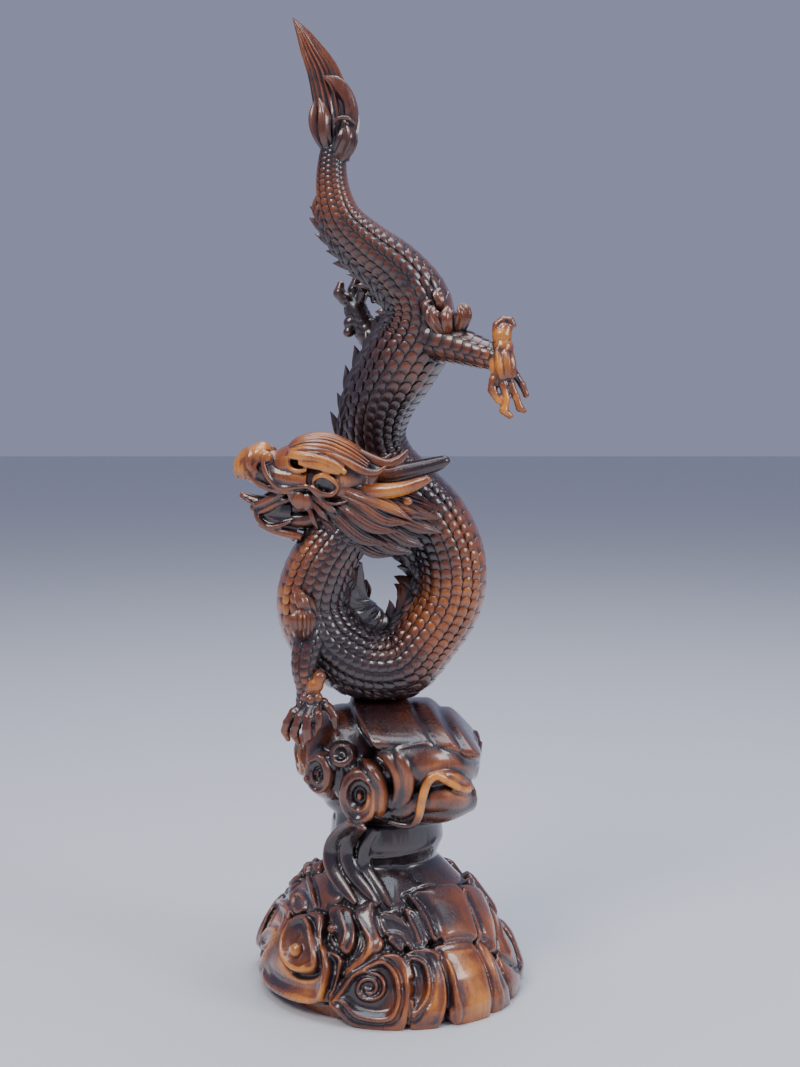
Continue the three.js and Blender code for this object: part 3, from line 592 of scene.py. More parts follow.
def head_block():
    """The head's masses and its drawn lines, to be melted together with the legs."""
    block = Block()

    def both(stations, **how):
        block.bar(stations, **how)
        block.bar(flipped(stations), **how)

    def both_balls(centre, radii):
        block.ball(centre, radii)
        block.ball((centre[0], -centre[1], centre[2]), radii)

    block.ball((5, 0, 3), (16.5, 9.6, 10.5))
    # Muzzle, with a pleated front lip and a round nose
    block.bar([(4, 0, 2, 8.6), (-10, 0, 2.6, 7.0), (-21, 0, 4.0, 6.6), (-29, 0, 6.0, 6.0),
               (-34, 0, 6.5, 3.4)], flat=1.1)
    for k in range(6):
        u, v, out = 235.5 + 3.7 * k, 470 + 0.8 * k, 2.2 + 0.95 * k
        both(head_line((u + 12, v - 20, out * 0.5, 0.8), (u + 3, v - 12, out * 0.85, 1.0),
                       (u, v - 2, out, 1.05), (u + 2.5, v + 8, out, 0.6)), sides=10)
    block.bar(head_line((239, 464, 0, 2.2), (246, 456, 0, 3.2), (256, 453, 0, 3.8)), flat=1.4)
    block.bar(head_line((257, 461, 0, 4.8), (260, 453, 0, 4.7), (262.5, 446.5, 0, 3.5),
                        (263, 441.5, 0, 1.2)), 24, 20, flat=1.4)
    both_balls(tuple(on_head(266, 457, 5.0)), (2.7, 2.2, 2.6))
    both(head_line((252, 449, 2.6, 1.4), (250, 458, 4.8, 1.9), (252, 467, 6.0, 1.7), (258, 472, 6.6, 1.1)),
         steps=16)
    # Saddle behind the nose, with its sides
    block.bar(head_line((262, 458, 0, 4.4), (275, 462.5, 0, 5.2), (284, 463, 0, 6.6), (294, 462, 0, 7.6)),
              flat=1.1)
    both(head_line((264, 469, 4.2, 3.2), (276, 475, 4.6, 3.6), (292, 478, 5.0, 4.4), (308, 480, 5.4, 4.2)),
         steps=20)
    # Lip roll from the nose, round the muzzle and back under the eye
    both(head_line((263, 456, 6.2, 0.8), (264, 468, 7.6, 1.15), (270, 480, 8.0, 1.2), (281, 488, 8.3, 1.2),
                   (296, 487, 8.6, 1.1), (309, 487, 9.4, 1.1), (317, 495, 9.8, 1.0), (326, 502, 10.2, 0.9),
                   (337, 504, 10.4, 0.75), (350, 500, 10.6, 0.3)), steps=44)
    both(head_line((246, 472, 6.0, 1.0), (254, 480, 6.8, 1.3), (264, 486, 7.4, 1.4), (279, 491, 7.8, 1.3),
                   (294, 492, 8.0, 0.9)), steps=20)
    # Forehead dome and the heavy brow
    block.bar(FOREHEAD, flat=1.5)
    both(head_line((290, 455, 6.2, 1.7), (300, 456, 8.2, 1.9), (313, 457.5, 9.6, 1.9),
                   (327, 462, 10.3, 1.8), (339, 468, 10.6, 1.6), (346, 473, 10.4, 1.1)), steps=24)
    both(head_line((299, 462.5, 8.0, 1.1), (309, 463.5, 9.4, 1.9), (321, 465.5, 10.3, 2.1),
                   (332, 470, 10.7, 1.6), (340, 473.5, 10.4, 0.8)), steps=24)
    both(head_line((288, 456, 6.4, 1.2), (288, 464, 7.2, 1.2), (292, 469, 8.0, 1.1), (299, 471, 8.8, 1.0),
                   (307, 469.5, 9.4, 0.8)), steps=20)
    both(head_line((290, 452, 4.4, 1.5), (302, 449, 6.0, 1.8), (317, 450, 7.2, 1.8), (333, 456, 8.2, 1.7),
                   (350, 464, 9.0, 1.7), (366, 472, 9.6, 1.8), (378, 472, 10.0, 1.3),
                   (386, 466, 10.2, 0.4)), steps=32)
    # Eye: a ball in an almond rim
    both_balls(tuple(on_head(325, 485.5, 5.6)), (2.2, 2.0, 2.0))
    both(head_line((312.5, 483, 8.8, 0.6), (316, 477.5, 9.9, 1.15), (323, 475, 10.4, 1.3),
                   (331.5, 479, 10.3, 1.25), (338.5, 487, 9.6, 0.85)), sides=10, steps=24)
    both(head_line((312.5, 483, 8.8, 0.6), (315.5, 489.5, 9.9, 1.15), (323.5, 494, 10.4, 1.3),
                   (332.5, 494, 10.2, 1.2), (338.5, 487, 9.6, 0.85)), sides=10, steps=24)
    # Cheek under the eye and behind it
    both_balls(tuple(on_head(341, 490, 5.0)), (7.5, 4.6, 5.4))
    both_balls(tuple(on_head(300, 500, 7.0)), (3.4, 2.8, 4.6))
    both_balls(tuple(on_head(309, 502, 7.4)), (3.0, 2.6, 4.4))
    # Horns
    block.bar(head_line((362, 493, 6, 3.5), (375, 491.5, 9.5, 3.4), (392, 490.5, 11, 3.1),
                        (408, 487, 12, 2.7), (420, 482.5, 12.5, 2.2), (428, 479.5, 12.8, 1.5),
                        (431, 478.5, 12.8, 0.4)), sides=18, steps=24)
    block.bar([(12, 8, 3, 4.2), (24, 10, 1, 4.2), (36, 12, 3, 3.7), (44, 12.7, 5, 3.1), (48, 13, 6.3, 2.3),
               (49.5, 13, 6.9, 0.8)], sides=18, steps=24)
    # Lower jaw, its lip folds and the tongue
    block.bar([(8, 0, -9, 5.6), (-6, 0, -14.0, 4.4), (-18, 0, -14.6, 3.8), (-25, 0, -12.5, 2.8),
               (-28.5, 0, -10, 1.4)], flat=1.5)
    both(head_line((255, 508, 3.4, 0.9), (258, 519, 4.6, 1.2), (267, 526.5, 5.4, 1.3), (279, 526, 6.2, 1.1),
                   (292, 521, 6.8, 0.6)), steps=20)
    both(head_line((254, 506, 3.2, 1.0), (262, 503, 4.6, 1.5), (273, 498, 5.8, 1.5), (285, 493, 6.8, 1.1)),
         steps=16)
    both(head_line((256, 513, 3.6, 1.0), (266, 509, 4.8, 1.5), (278, 503, 6.0, 1.5), (291, 499, 6.8, 1.0)),
         steps=16)
    both(head_line((259, 524, 4.2, 1.2), (272, 530, 5.4, 1.6), (288, 534, 6.2, 1.8), (302, 537, 6.0, 1.6)),
         steps=16)
    block.bar([(-8, 0, -10, 2.6), (-22, 0, -8.2, 2.4), (-30, 0, -6.6, 1.7), (-35.5, 0, -3.8, 0.3)],
              flat=1.5, steps=20)
    block.bar(head_line((251, 505, 0, 2.2), (262, 508, 0, 4.6), (277, 509, 0, 6.0), (293, 510, 0, 6.6)),
              flat=0.85, steps=20)
    block.bar(head_line((259, 517, 0, 2.8), (270, 521, 0, 4.4), (283, 525, 0, 5.0), (298, 530, 0, 5.0)),
              flat=1.1, steps=20)
    both(head_line((239.5, 495.5, 0.4, 0.4), (247, 500.5, 3.0, 0.7), (256, 504, 3.8, 0.7),
                   (268, 500, 4.0, 0.6)), sides=8, steps=14)
    # Fang
    both(head_line((288, 489, 7.4, 1.0), (290.5, 498, 7.8, 0.9), (294, 508, 7.8, 0.2)), sides=10, steps=10)
    return block


# Mane and cheek hair: pixels from the root to the tip, how far out each is, and the half-width in mm
MANE = [
    (((338, 489), (362, 498), (388, 506), (413, 521)), (7.0, 10.4, 11.4, 10.6), 2.5),
    (((338, 494), (362, 506), (384, 520), (410, 523)), (7.6, 11.0, 11.8, 11.4), 2.4),
    (((332, 500), (352, 514), (374, 527), (398, 532)), (7.2, 11.2, 12.2, 11.6), 2.5),
    (((322, 502), (340, 520), (362, 538), (388, 545)), (6.6, 10.8, 12.0, 11.0), 2.4),
    (((318, 508), (330, 526), (344, 541), (364, 547)), (5.6, 9.4, 10.6, 9.8), 2.2),
    (((356, 488), (378, 500), (398, 508), (421, 514)), (5.0, 8.6, 9.6, 8.6), 2.4),
    (((364, 494), (390, 504), (414, 512), (441, 519)), (3.4, 6.4, 7.2, 5.8), 2.6),
    (((368, 500), (394, 516), (418, 526), (442, 533)), (2.0, 5.6, 6.4, 4.0), 2.7),
    (((360, 508), (384, 526), (406, 540), (424, 546)), (3.0, 7.0, 7.6, 5.6), 2.5),
    (((350, 516), (372, 536), (392, 548), (413, 553)), (3.4, 7.6, 8.4, 6.4), 2.5),
    (((340, 520), (356, 540), (374, 552), (394, 556)), (3.0, 7.2, 8.2, 6.6), 2.3),
]
CHEEK_HAIR = [
    (((312, 496), (322, 503), (330, 509), (338, 513)), (8.4, 10.6, 11.2, 11.0), 1.3),
    (((310, 500), (317, 508), (323, 515), (329, 522)), (8.4, 10.4, 11.0, 10.6), 1.3),
    (((307, 504), (311, 513), (314, 521), (318, 529)), (8.0, 9.8, 10.2, 9.8), 1.2),
    (((318, 498), (328, 510), (338, 518), (347, 523)), (8.0, 9.8, 10.4, 10.2), 1.3),
]


def hair_block():
    """Mane, cheek hair, forehead strands and the roll behind the far horn."""
    block = Block()
    for group, flutes in ((MANE, 13), (CHEEK_HAIR, 5)):
        for pixels, outs, width in group:
            places = [tuple(on_head(u, v, out)) for (u, v), out in zip(pixels, outs)]
            for side in (places, flipped(places)):
                block.lock(side, width, flat=0.55, sides=3 * flutes, steps=13, flutes=flutes, deep=0.15,
                           keel=0.6)
    # Fine strands combed back over the forehead, and the roll behind the far horn
    dome = np.array(FOREHEAD)
    for k in range(8):
        round_it = math.radians(4 + 13.5 * k)
        shares = np.linspace(0.06 + 0.03 * (k % 3), 1.0, 7)
        centre, _, side, normal = frames(dome, shares)
        girth = along(dome[:, 3:4], shares)
        wave = 0.05 * np.sin(5 * shares + k)[:, None]
        spots = centre - normal * np.cos(round_it + wave) * girth - side * np.sin(round_it
                                                                                  + wave) * girth * 1.5
        strand = np.column_stack([spots, np.array((0.5, 1.0, 1.15, 1.15, 1.05, 0.9, 0.5))])
        block.bar(strand, 8, 20)
        block.bar(flipped(strand.tolist()), 8, 20)
    block.bar(head_line((360, 452, 1, 1.4), (375, 460, 2, 2.0), (388, 464, 2, 2.1), (400, 459, 1, 1.9),
                        (408, 450, 0, 0.6)), 12, 20)
    block.ball(tuple(on_head(407, 501.5, 8.5)), (2.2, 2.0, 1.8))
    return block


# The clouds

def skirt_radius(bearing, z):
    """How far the lower cloud's core stands from its axis. It swells towards the back left."""
    swell = SWELL * np.exp(-((bearing - SWELL_BEARING) / SWELL_WIDTH) ** 2) * np.clip(1 - z / 50, 0, 1)
    return np.interp(z, [h for _, h in SKIRT_PROFILE], [r for r, _ in SKIRT_PROFILE]) + swell


def on_skirt(bearing, z, proud=0.0):
    """A place on the lower cloud and its outward direction. Bearing is from the front, to the right."""
    angle = math.radians(bearing)
    slope = (skirt_radius(bearing, z - 2) - skirt_radius(bearing, z + 2)) / 4
    outward = unit(np.array((math.sin(angle), -math.cos(angle), slope)))
    shift = FOOT_SHIFT * max(0.0, 1 - z / FOOT_HEIGHT)
    radius = skirt_radius(bearing, z)
    centre = np.array((math.sin(angle) * radius + shift[0], shift[1] - math.cos(angle) * radius, z))
    return centre + outward * proud, outward


def rounded(outline, rounds=2):
    """The same loop with its corners rounded by halving."""
    points = np.asarray(outline, float)
    for _ in range(rounds):
        following = np.roll(points, -1, axis=0)
        points = np.stack([points * 0.75 + following * 0.25, points * 0.25 + following * 0.75],
                          1).reshape(-1, points.shape[1])
    return points


def band(block, outline, left, right, share=1.0, middle=(0.0, 100.0), blunt=7.0):
    """A barrel band: a loop of depth and height drawn out to the right, round-ended, that leans left."""
    loop = rounded(outline, 2)
    loop = np.asarray(middle) + (loop - middle) * share
    shape = rod(len(loop), 40)
    angle = np.arctan2(shape[1][:, 1], shape[1][:, 0])
    place = np.mod(np.round(angle / (2 * math.pi) * len(loop)), len(loop)).astype(int)
    along_it = -np.cos((shape[1][:, 2] + 0.5) * math.pi)
    narrow = np.maximum(1 - np.abs(along_it) ** blunt, 1e-4) ** (1 / blunt)
    middle = loop.mean(0)
    flat = middle + (loop[place] - middle) * narrow[:, None]
    x = (left + right) / 2 + along_it * (right - left) / 2 - LEAN * np.maximum(0, flat[:, 1] - LEAN_FROM)
    block.add(shape, np.column_stack([x, flat]))


def turned_to(outward):
    """Axes with x to the right and z up along a face that looks outward."""
    outward = unit(np.asarray(outward, float))
    right = unit(np.cross(UP, outward))
    return outward, right, np.cross(outward, right)


def drum(block, centre, outward, radius, tall, length):
    """A short oval drum that looks outward."""
    outward, right, up = turned_to(outward)
    shape = rod(40, 10)
    share = shape[1][:, 2:3] + 0.5
    narrow = 1 - 0.07 * np.clip(share * 4 - 3, 0, 1) ** 2
    flat = right * shape[1][:, 0:1] + up * shape[1][:, 1:2] * tall
    block.add(shape, np.asarray(centre, float) + flat * radius * narrow + outward * (share - 1) * length)


def cloud_core():
    """The lower cloud, the waist's bowl and the upper cloud's masses, without their carving."""
    block = Block()
    shape = rod(96, 60)
    z = (shape[1][:, 2] + 0.5) * 72
    angle = np.arctan2(shape[1][:, 1], shape[1][:, 0])
    bearing = np.degrees(np.arctan2(np.cos(angle), -np.sin(angle)))
    shift = np.maximum(0, 1 - z / FOOT_HEIGHT)[:, None] * FOOT_SHIFT
    radius = skirt_radius(bearing, z)
    block.add(shape, np.column_stack([np.cos(angle) * radius + shift[:, 0],
                                      np.sin(angle) * radius + shift[:, 1], z]))
    for left, right, share, rise in BANDS:
        band(block, STAVE + (0, rise), left, right, share)
    block.ball((-17.5, -1, 98), (20.5, 25, 21), 4)
    block.ball((5, 0, 92), (29, 25, 18), 4)
    block.ball((5, -1, 80), (32, 26.5, 11), 4)
    block.bar([(-13, -12, 76, 8), (-15, -13, 66, 7), (-16, -14, 56, 7), (-13, -16, 46, 8),
               (-8, -20, 38, 8)], 24, 30)
    # Roll under the bands, and the mass under the lip
    block.bar(seen_at((391, 763, -21.5, 8.6), (402, 762, -23, 10.2), (425, 762, -23, 10.6),
                      (446, 764, -18, 10.2), (462, 766, -10, 8)), 40, 40)
    block.bar([(10, -20, 80, 6.5), (22, -20, 82, 8.5), (33, -12, 84, 8)], 20, 20)
    for centre, outward, radius, _, tall, length in (*UPPER_CURLS, *UPPER_BACK_CURLS):
        drum(block, centre, outward, radius, tall, length)
    for bearing, z, radius, _, tall in BACK_CURLS:
        centre, outward = on_skirt(bearing, z, CURLS_PROUD)
        drum(block, centre, outward, radius, tall, 9)
    return block


def inside_by(spots, loop):
    """How far each spot is inside a closed loop on the flat, negative outside it."""
    near = np.full(len(spots), 1e9)
    inside = np.zeros(len(spots), bool)
    for a, b in zip(loop, np.roll(loop, -1, axis=0)):
        line = b - a
        share = np.clip((spots - a) @ line / max(line @ line, 1e-9), 0, 1)
        gap = spots - a - share[:, None] * line
        near = np.minimum(near, (gap * gap).sum(1))
        if a[1] != b[1]:
            crossing = (spots[:, 1] > min(a[1], b[1])) & (spots[:, 1] <= max(a[1], b[1]))
            inside ^= crossing & (spots[:, 0] < a[0] + (spots[:, 1] - a[1]) * line[0] / line[1])
    return np.sqrt(near) * np.where(inside, 1, -1)


def off_line(spots, line):
    """How far each spot is from an open line on the flat, and how far along it, from 0 to 1."""
    near, where = np.full(len(spots), 1e9), np.zeros(len(spots))
    run = np.concatenate([[0], np.cumsum(np.linalg.norm(np.diff(line, axis=0), axis=1))])
    for i in range(len(line) - 1):
        step = line[i + 1] - line[i]
        share = np.clip((spots - line[i]) @ step / max(step @ step, 1e-9), 0, 1)
        gap = spots - line[i] - share[:, None] * step
        gap = (gap * gap).sum(1)
        closer = gap < near
        near = np.where(closer, gap, near)
        where = np.where(closer, run[i] + share * (run[i + 1] - run[i]), where)
    return np.sqrt(near), where / run[-1]


def eased(share):
    """A share from 0 to 1 that starts and ends gently."""
    share = np.clip(share, 0, 1)
    return share * share * (3 - 2 * share)


class Relief:
    """Height painted on a smooth core, lobe over lobe, and then given to its points."""

    def __init__(self, mesh):
        count = len(mesh.vertices)
        self.mesh = mesh
        self.places, self.outs = np.empty(3 * count), np.empty(3 * count, np.float32)
        mesh.vertices.foreach_get("co", self.places)
        mesh.vertex_normals.foreach_get("vector", self.outs)
        self.places, self.outs = self.places.reshape(-1, 3), self.outs.reshape(-1, 3).astype(float)
        self.outs = unit(averaged(self.outs, neighbours(mesh), 6))
        self.height = np.zeros(count)
        # What the camera sees is taken a little off the core, where the lobes' faces will be
        bm = bmesh.new()
        bm.from_mesh(mesh)
        for v, place in zip(bm.verts, self.places + self.outs * CARVED_DEPTH):
            v.co = place
        self.tree = BVHTree.FromBMesh(bm)
        bm.free()

    def seen(self, pixels):
        """The places on the core that the camera sees at pixels."""
        found = []
        for u, v in pixels:
            place = self.tree.ray_cast(Vector(EYE), Vector(unit(sight(u, v))))[0]
            if place is None or place[2] < 0:
                line = sight(u, v)
                floor = EYE - line * EYE[2] / line[2]
                place = floor if floor[1] < -12 else self.tree.find_nearest(Vector(at(u, v, 0.0)))[0]
            found.append(np.array(place))
        return np.array(found)

    def chart(self, places):
        """The core's points about some places, those points laid flat, and the places laid flat."""
        middle = places.mean(0)
        outward = unit(sum(np.array(self.tree.find_nearest(Vector(p))[1]) for p in places))
        _, right, up = turned_to(outward if abs(outward[2]) < 0.98 else outward + np.array((0.3, 0, 0)))
        reach = np.linalg.norm(places - middle, axis=1).max() + 3
        near = np.flatnonzero((np.linalg.norm(self.places - middle,
                                              axis=1) < reach) & (self.outs @ outward > 0.1))
        axes = np.column_stack([right, up])
        return near, (self.places[near] - middle) @ axes, (places - middle) @ axes

    def lobe(self, places, level, rim=0.0, lift=0.0, dome=0.0, dish=0.0, cut=1.2, rise=(0, 0, 0), rounds=2):
        """A lobe level mm off the core, with a raised rim, a domed or dished face and a cut round it."""
        near, spots, loop = self.chart(rounded(places, rounds))
        deep = inside_by(spots, loop)
        face = level + (self.places[near] - places.mean(0)) @ np.asarray(rise, float)
        face = face + dome * (1 - np.exp(-np.maximum(deep, 0) / 2.5)) - 0.7 * np.exp(-np.maximum(deep,
                                                                                                 0) / 0.5)
        if rim:
            face = face + lift * np.sin(np.pi * np.clip(deep / rim, 0,
                                                        1)) ** 0.8 - dish * eased((deep - rim * 0.6) / rim)
        share = eased((deep + 0.25) / 0.6)
        height = self.height[near] * (1 - share) + face * share
        self.height[near] = height - cut * np.exp(-((deep + 0.75) / 0.6) ** 2) * (deep < 0)

    def line(self, places, width, lift, taper=0.12):
        """A ridge along places, or a cut where lift is negative. It fades at its ends."""
        places = along(places, np.linspace(0, 1, 8 * len(places)))
        near, spots, line = self.chart(places)
        gap, share = off_line(spots, line)
        fade = eased(share / taper) * eased((1 - share) / taper) if taper else 1.0
        self.height[near] += lift * fade * np.clip(1 - (gap / width) ** 2, 0, 1) ** 1.5

    def swirl(self, centre, outward, radius, hand, tall, turns=1.0, start=0.6, face=0.0):
        """A dished oval face with a broad rim that winds in to a bead in a pit."""
        outward, right, up = turned_to(outward)

        def ring(angles, reach):
            sideways = right * (hand * np.cos(angles) * reach)[:, None]
            upwards = up * (np.sin(angles) * reach * tall)[:, None]
            return np.asarray(centre, float) + (sideways + upwards)

        whole = np.linspace(0, 2 * math.pi, 30, endpoint=False)
        same = np.ones(30)
        self.lobe(ring(whole, radius * 0.96 * same), face, rim=radius * 0.36, lift=radius * 0.13,
                  dish=radius * 0.1, cut=0.6, rounds=1)
        share = np.linspace(0, 1, 22)
        angles = start + share * turns * 2 * math.pi
        self.line(ring(angles, radius * (0.7 - 0.32 * share)), radius * 0.15, radius * 0.17, 0.1)
        self.lobe(ring(whole, radius * 0.33 * same), face - radius * 0.3, cut=0.0, rounds=1)
        self.lobe(ring(whole, radius * 0.15 * same), face + radius * 0.06, cut=0.0, rounds=1)

    def draw(self, lobes, lines):
        """Lobes, then ridges and cuts on them, that the photograph shows at their pixels."""
        for pixels, level, rim, lift, dome, dish, fall in lobes:
            self.lobe(self.seen(pixels), level, rim, lift, dome, dish, rise=(0, 0, -fall))
        for pixels, width, lift in lines:
            self.line(self.seen(pixels), width, lift)

    def given(self):
        """The mesh with its height given to its points."""
        self.mesh.vertices.foreach_set("co", (self.places + self.outs * self.height[:, None]).ravel())
        self.mesh.update()
        return self.mesh


# Lobes of the lower cloud, back to front: pixels round each, height, rim, lift, dome, dish, rise downwards
LOWER_LOBES = [
    ([(300, 871), (298, 864), (303, 853), (312, 848), (319, 851), (321, 864), (315, 871)], 2.6, 0, 0, 1.0,
     0, 0),
    ([(303, 873), (325, 867), (332, 882), (343, 894), (326, 911), (316, 914), (309, 895)], 1.6, 0, 0, 0.6,
     0, 0.02),
    ([(272, 903), (280, 886), (292, 879), (304, 873), (309, 878), (314, 892), (317, 913), (300, 917),
      (289, 915)], 2.2, 0, 0, 0.8, 0, 0.02),
    ([(290, 913), (289, 902), (294, 893), (300, 890), (305, 896), (306, 906), (300, 914)], 2.6, 2.2, 0.9, 0,
     1.0, 0),
    ([(252, 956), (253, 942), (260, 924), (266, 910), (273, 901), (283, 900), (289, 908), (290, 918),
      (283, 930), (272, 943), (267, 955), (262, 962)], 3.0, 2.6, 1.1, 0, 1.2, 0),
    ([(262, 951), (259, 940), (265, 929), (273, 926), (276, 934), (269, 944)], 3.0, 1.6, 0.7, 0, 1.6, 0),
    ([(326, 909), (334, 904), (343, 905), (353, 911), (355, 930), (353, 945), (348, 954), (338, 953),
      (337, 941), (331, 930)],
     2.4, 0, 0, 1.0, 0, 0.02),
    ([(352, 909), (363, 907), (373, 897), (378, 914), (383, 934), (383, 946), (374, 959), (363, 970),
      (343, 979), (343, 971), (354, 961), (362, 951), (366, 941), (361, 928)], 3.0, 0, 0, 1.2, 0, 0.03),
    ([(377, 913), (386, 911), (397, 914), (408, 921), (415, 934), (421, 950), (414, 951), (405, 946),
      (399, 936), (385, 937), (380, 928)], 2.2, 2.0, 0.9, 0, 0.7, 0),
    ([(385, 938), (393, 935), (401, 939), (406, 948), (401, 954), (392, 943)], 1.8, 1.2, 0.7, 0, 0.3, 0),
    ([(403, 905), (410, 908), (418, 910), (425, 922), (431, 942), (425, 948), (419, 948), (415, 934),
      (408, 920)], 2.8, 1.8, 0.7, 0, 0.4, 0),
    ([(405, 894), (413, 892), (425, 899), (435, 914), (442, 940), (432, 943), (425, 922), (417, 908)], 3.6,
     1.8, 0.7, 0, 0.4, 0),
    ([(486, 903), (492, 901), (501, 904), (505, 918), (510, 938), (520, 970), (511, 962), (499, 954),
      (495, 936), (489, 918)],
     2.2, 0, 0, 1.2, 0, 0.02),
    ([(499, 953), (508, 963), (521, 986), (522, 993), (516, 999), (509, 992), (503, 978)], 2.0, 0, 0, 1.2,
     0, 0.02),
    ([(462, 885), (469, 883), (479, 884), (485, 894), (490, 910), (495, 930), (499, 953), (489, 950),
      (479, 944), (473, 926), (466, 900)], 2.8, 0, 0, 1.4, 0, 0.03),
    ([(475, 941), (486, 939), (498, 961), (508, 985), (517, 1003), (506, 1010), (493, 1015), (489, 989),
      (481, 962)],
     2.4, 0, 0, 1.6, 0, 0.02),
    ([(413, 893), (421, 888), (433, 885), (455, 884), (465, 898), (470, 918), (476, 941), (463, 941),
      (454, 944), (441, 941), (437, 920), (427, 902)], 4.0, 0, 0, 1.2, 0, 0.06),
    ([(431, 948), (445, 944), (459, 941), (473, 941), (481, 961), (490, 989), (493, 1017), (478, 1021),
      (458, 1023), (449, 1017), (448, 999), (445, 973), (437, 954)], 3.0, 0, 0, 1.8, 0, 0.02),
    ([(401, 957), (413, 951), (431, 948), (437, 954), (445, 972), (448, 999), (445, 1013), (439, 1025),
      (425, 1029), (407, 1028), (405, 990)], 3.0, 2.4, 0.6, 0.8, 0, 0.02),
    ([(405, 958), (416, 956), (426, 963), (431, 981), (429, 999), (420, 1012), (409, 1017), (410, 999),
      (411, 984), (408, 970)],
     3.2, 1.9, 1.4, 0, 2.2, 0),
    ([(322, 943), (328, 951), (342, 956), (340, 973), (337, 987), (332, 997), (327, 1003), (319, 1001),
      (324, 987), (328, 969)],
     3.0, 2.0, 0.8, 0, 1.0, 0.02),
    ([(322, 914), (310, 914), (300, 917), (290, 922), (280, 932), (272, 946), (265, 955), (261, 966),
      (267, 978), (281, 990), (300, 999), (320, 1002), (325, 987), (328, 969), (325, 953), (319, 941),
      (322, 928)], 4.2, 3.0, 0.8, 0, 1.2, 0),
    ([(304, 916), (294, 922), (286, 934), (283, 948), (286, 960), (293, 969), (304, 972), (316, 971),
      (319, 961), (318, 946), (314, 930), (309, 918)], 4.8, 2.4, 1.2, 0, 1.5, 0),
    ([(328, 1003), (337, 995), (342, 981), (354, 973), (366, 964), (381, 956), (392, 954), (401, 958),
      (407, 970), (409, 985), (407, 1013), (404, 1029), (377, 1030), (362, 1027), (352, 1023), (342, 1013)],
     3.6, 3.0, 0.5, 0.4, 0, 0.02),
    ([(333, 1002), (342, 1000), (351, 1012), (364, 1017), (380, 1019), (394, 1017), (400, 1004), (399, 984),
      (392, 969), (382, 960), (368, 966), (352, 977), (345, 985)], 4.0, 2.0, 1.3, 0, 2.2, 0),
]
# Ridges and cuts on them: pixels, half-width, lift
LOWER_LINES = [
    ([(306, 874), (310, 886), (314, 900), (317, 913)], 1.3, 1.3),
    ([(280, 889), (290, 881), (304, 874)], 1.2, 1.0), ([(316, 850), (318, 860), (315, 870)], 1.2, 0.9),
    ([(339, 907), (343, 920), (346, 934), (341, 951)], 1.5, 1.4),
    ([(331, 912), (334, 926), (336, 940)], 1.1, -1.0),
    ([(354, 912), (363, 928), (370, 942), (366, 957), (353, 970), (344, 977)], 1.5, 1.5),
    ([(374, 902), (378, 918), (381, 940), (374, 956)], 1.4, -0.9),
    ([(323, 945), (328, 960), (328, 977), (321, 999)], 1.4, 1.4),
    ([(333, 958), (334, 976), (330, 992)], 1.6, -1.0), ([(278, 905), (268, 922), (260, 944)], 1.6, 0.8),
    ([(284, 906), (282, 920), (274, 936)], 1.5, 0.9),
    ([(268, 962), (276, 976), (294, 985), (318, 988)], 2.6, -0.7),
    ([(264, 965), (270, 979), (284, 990), (306, 998)], 1.4, 0.7),
    ([(290, 969), (300, 976), (313, 976), (321, 969)], 1.4, -2.0),
    ([(311, 930), (315, 946), (314, 960), (303, 967)], 1.4, 1.2),
    ([(300, 932), (292, 942), (290, 955)], 2.2, -1.2),
    ([(434, 950), (446, 966), (453, 990), (457, 1021)], 1.5, 1.5),
    ([(441, 951), (456, 948), (471, 947)], 1.2, -0.6), ([(439, 951), (447, 975), (451, 1010)], 1.8, -1.2),
    ([(466, 890), (476, 915), (484, 945)], 1.4, -0.7), ([(484, 945), (494, 975), (500, 1008)], 1.4, 0.7),
    ([(494, 908), (502, 935), (511, 958)], 1.4, 0.7), ([(413, 978), (415, 990), (413, 1001)], 1.9, -2.0),
    ([(352, 859), (370, 862), (392, 861), (414, 857), (434, 849), (442, 842)], 1.0, 0.8),
    ([(392, 862), (412, 872), (424, 884)], 3.0, -0.5), ([(372, 905), (388, 906), (404, 900)], 1.6, -0.7),
]
SPIRAL_EYE, SPIRAL_GIRTH = (369, 988), 17.5  # the front spiral's middle and how wide it is, in pixels


def lower_relief(relief):
    """The lower cloud's slabs and back curls, then the lobes, lines and spiral seen in the photograph."""
    for bearing, top, bottom, half, thick in (*BACK_SLABS, *SIDE_SLABS):
        steps = np.linspace(0, 1, 4)
        edge = [on_skirt(bearing - half * (0.75 + 0.25 * s), top + (bottom - top) * s)[0] for s in steps]
        back = [on_skirt(bearing + half * (0.75 + 0.25 * s),
                         top + (bottom - top) * s)[0] for s in steps[::-1]]
        relief.lobe(np.array(edge + back), thick, dome=1.5, rounds=1)
    for bearing, z, radius, hand, tall in BACK_CURLS:
        centre, outward = on_skirt(bearing, z, CURLS_PROUD)
        relief.swirl(centre, outward, radius, hand, tall)
    relief.draw(LOWER_LOBES, LOWER_LINES)
    turns = np.linspace(0, 1, 26)
    reach = SPIRAL_GIRTH * (1 - 0.84 * turns)
    angle = 2.9 - turns * 4.1 * math.pi
    spiral = [(SPIRAL_EYE[0] + r * math.cos(a), SPIRAL_EYE[1] - 0.86 * r * math.sin(a)) for r,
              a in zip(reach, angle)]
    relief.line(relief.seen(spiral), 1.25, 2.3, 0.05)


def upper_relief(relief):
    for centre, outward, radius, hand, tall, _ in (*UPPER_CURLS, *UPPER_BACK_CURLS):
        relief.swirl(centre, outward, radius, hand, tall)
    relief.draw(UPPER_LOBES, UPPER_LINES)


def averaged_run(places):
    """The same run of places with its inner ones eased towards their neighbours."""
    eased_places = places.copy()
    eased_places[1:-1] = places[1:-1] * 0.5 + (places[:-2] + places[2:]) * 0.25
    return eased_places


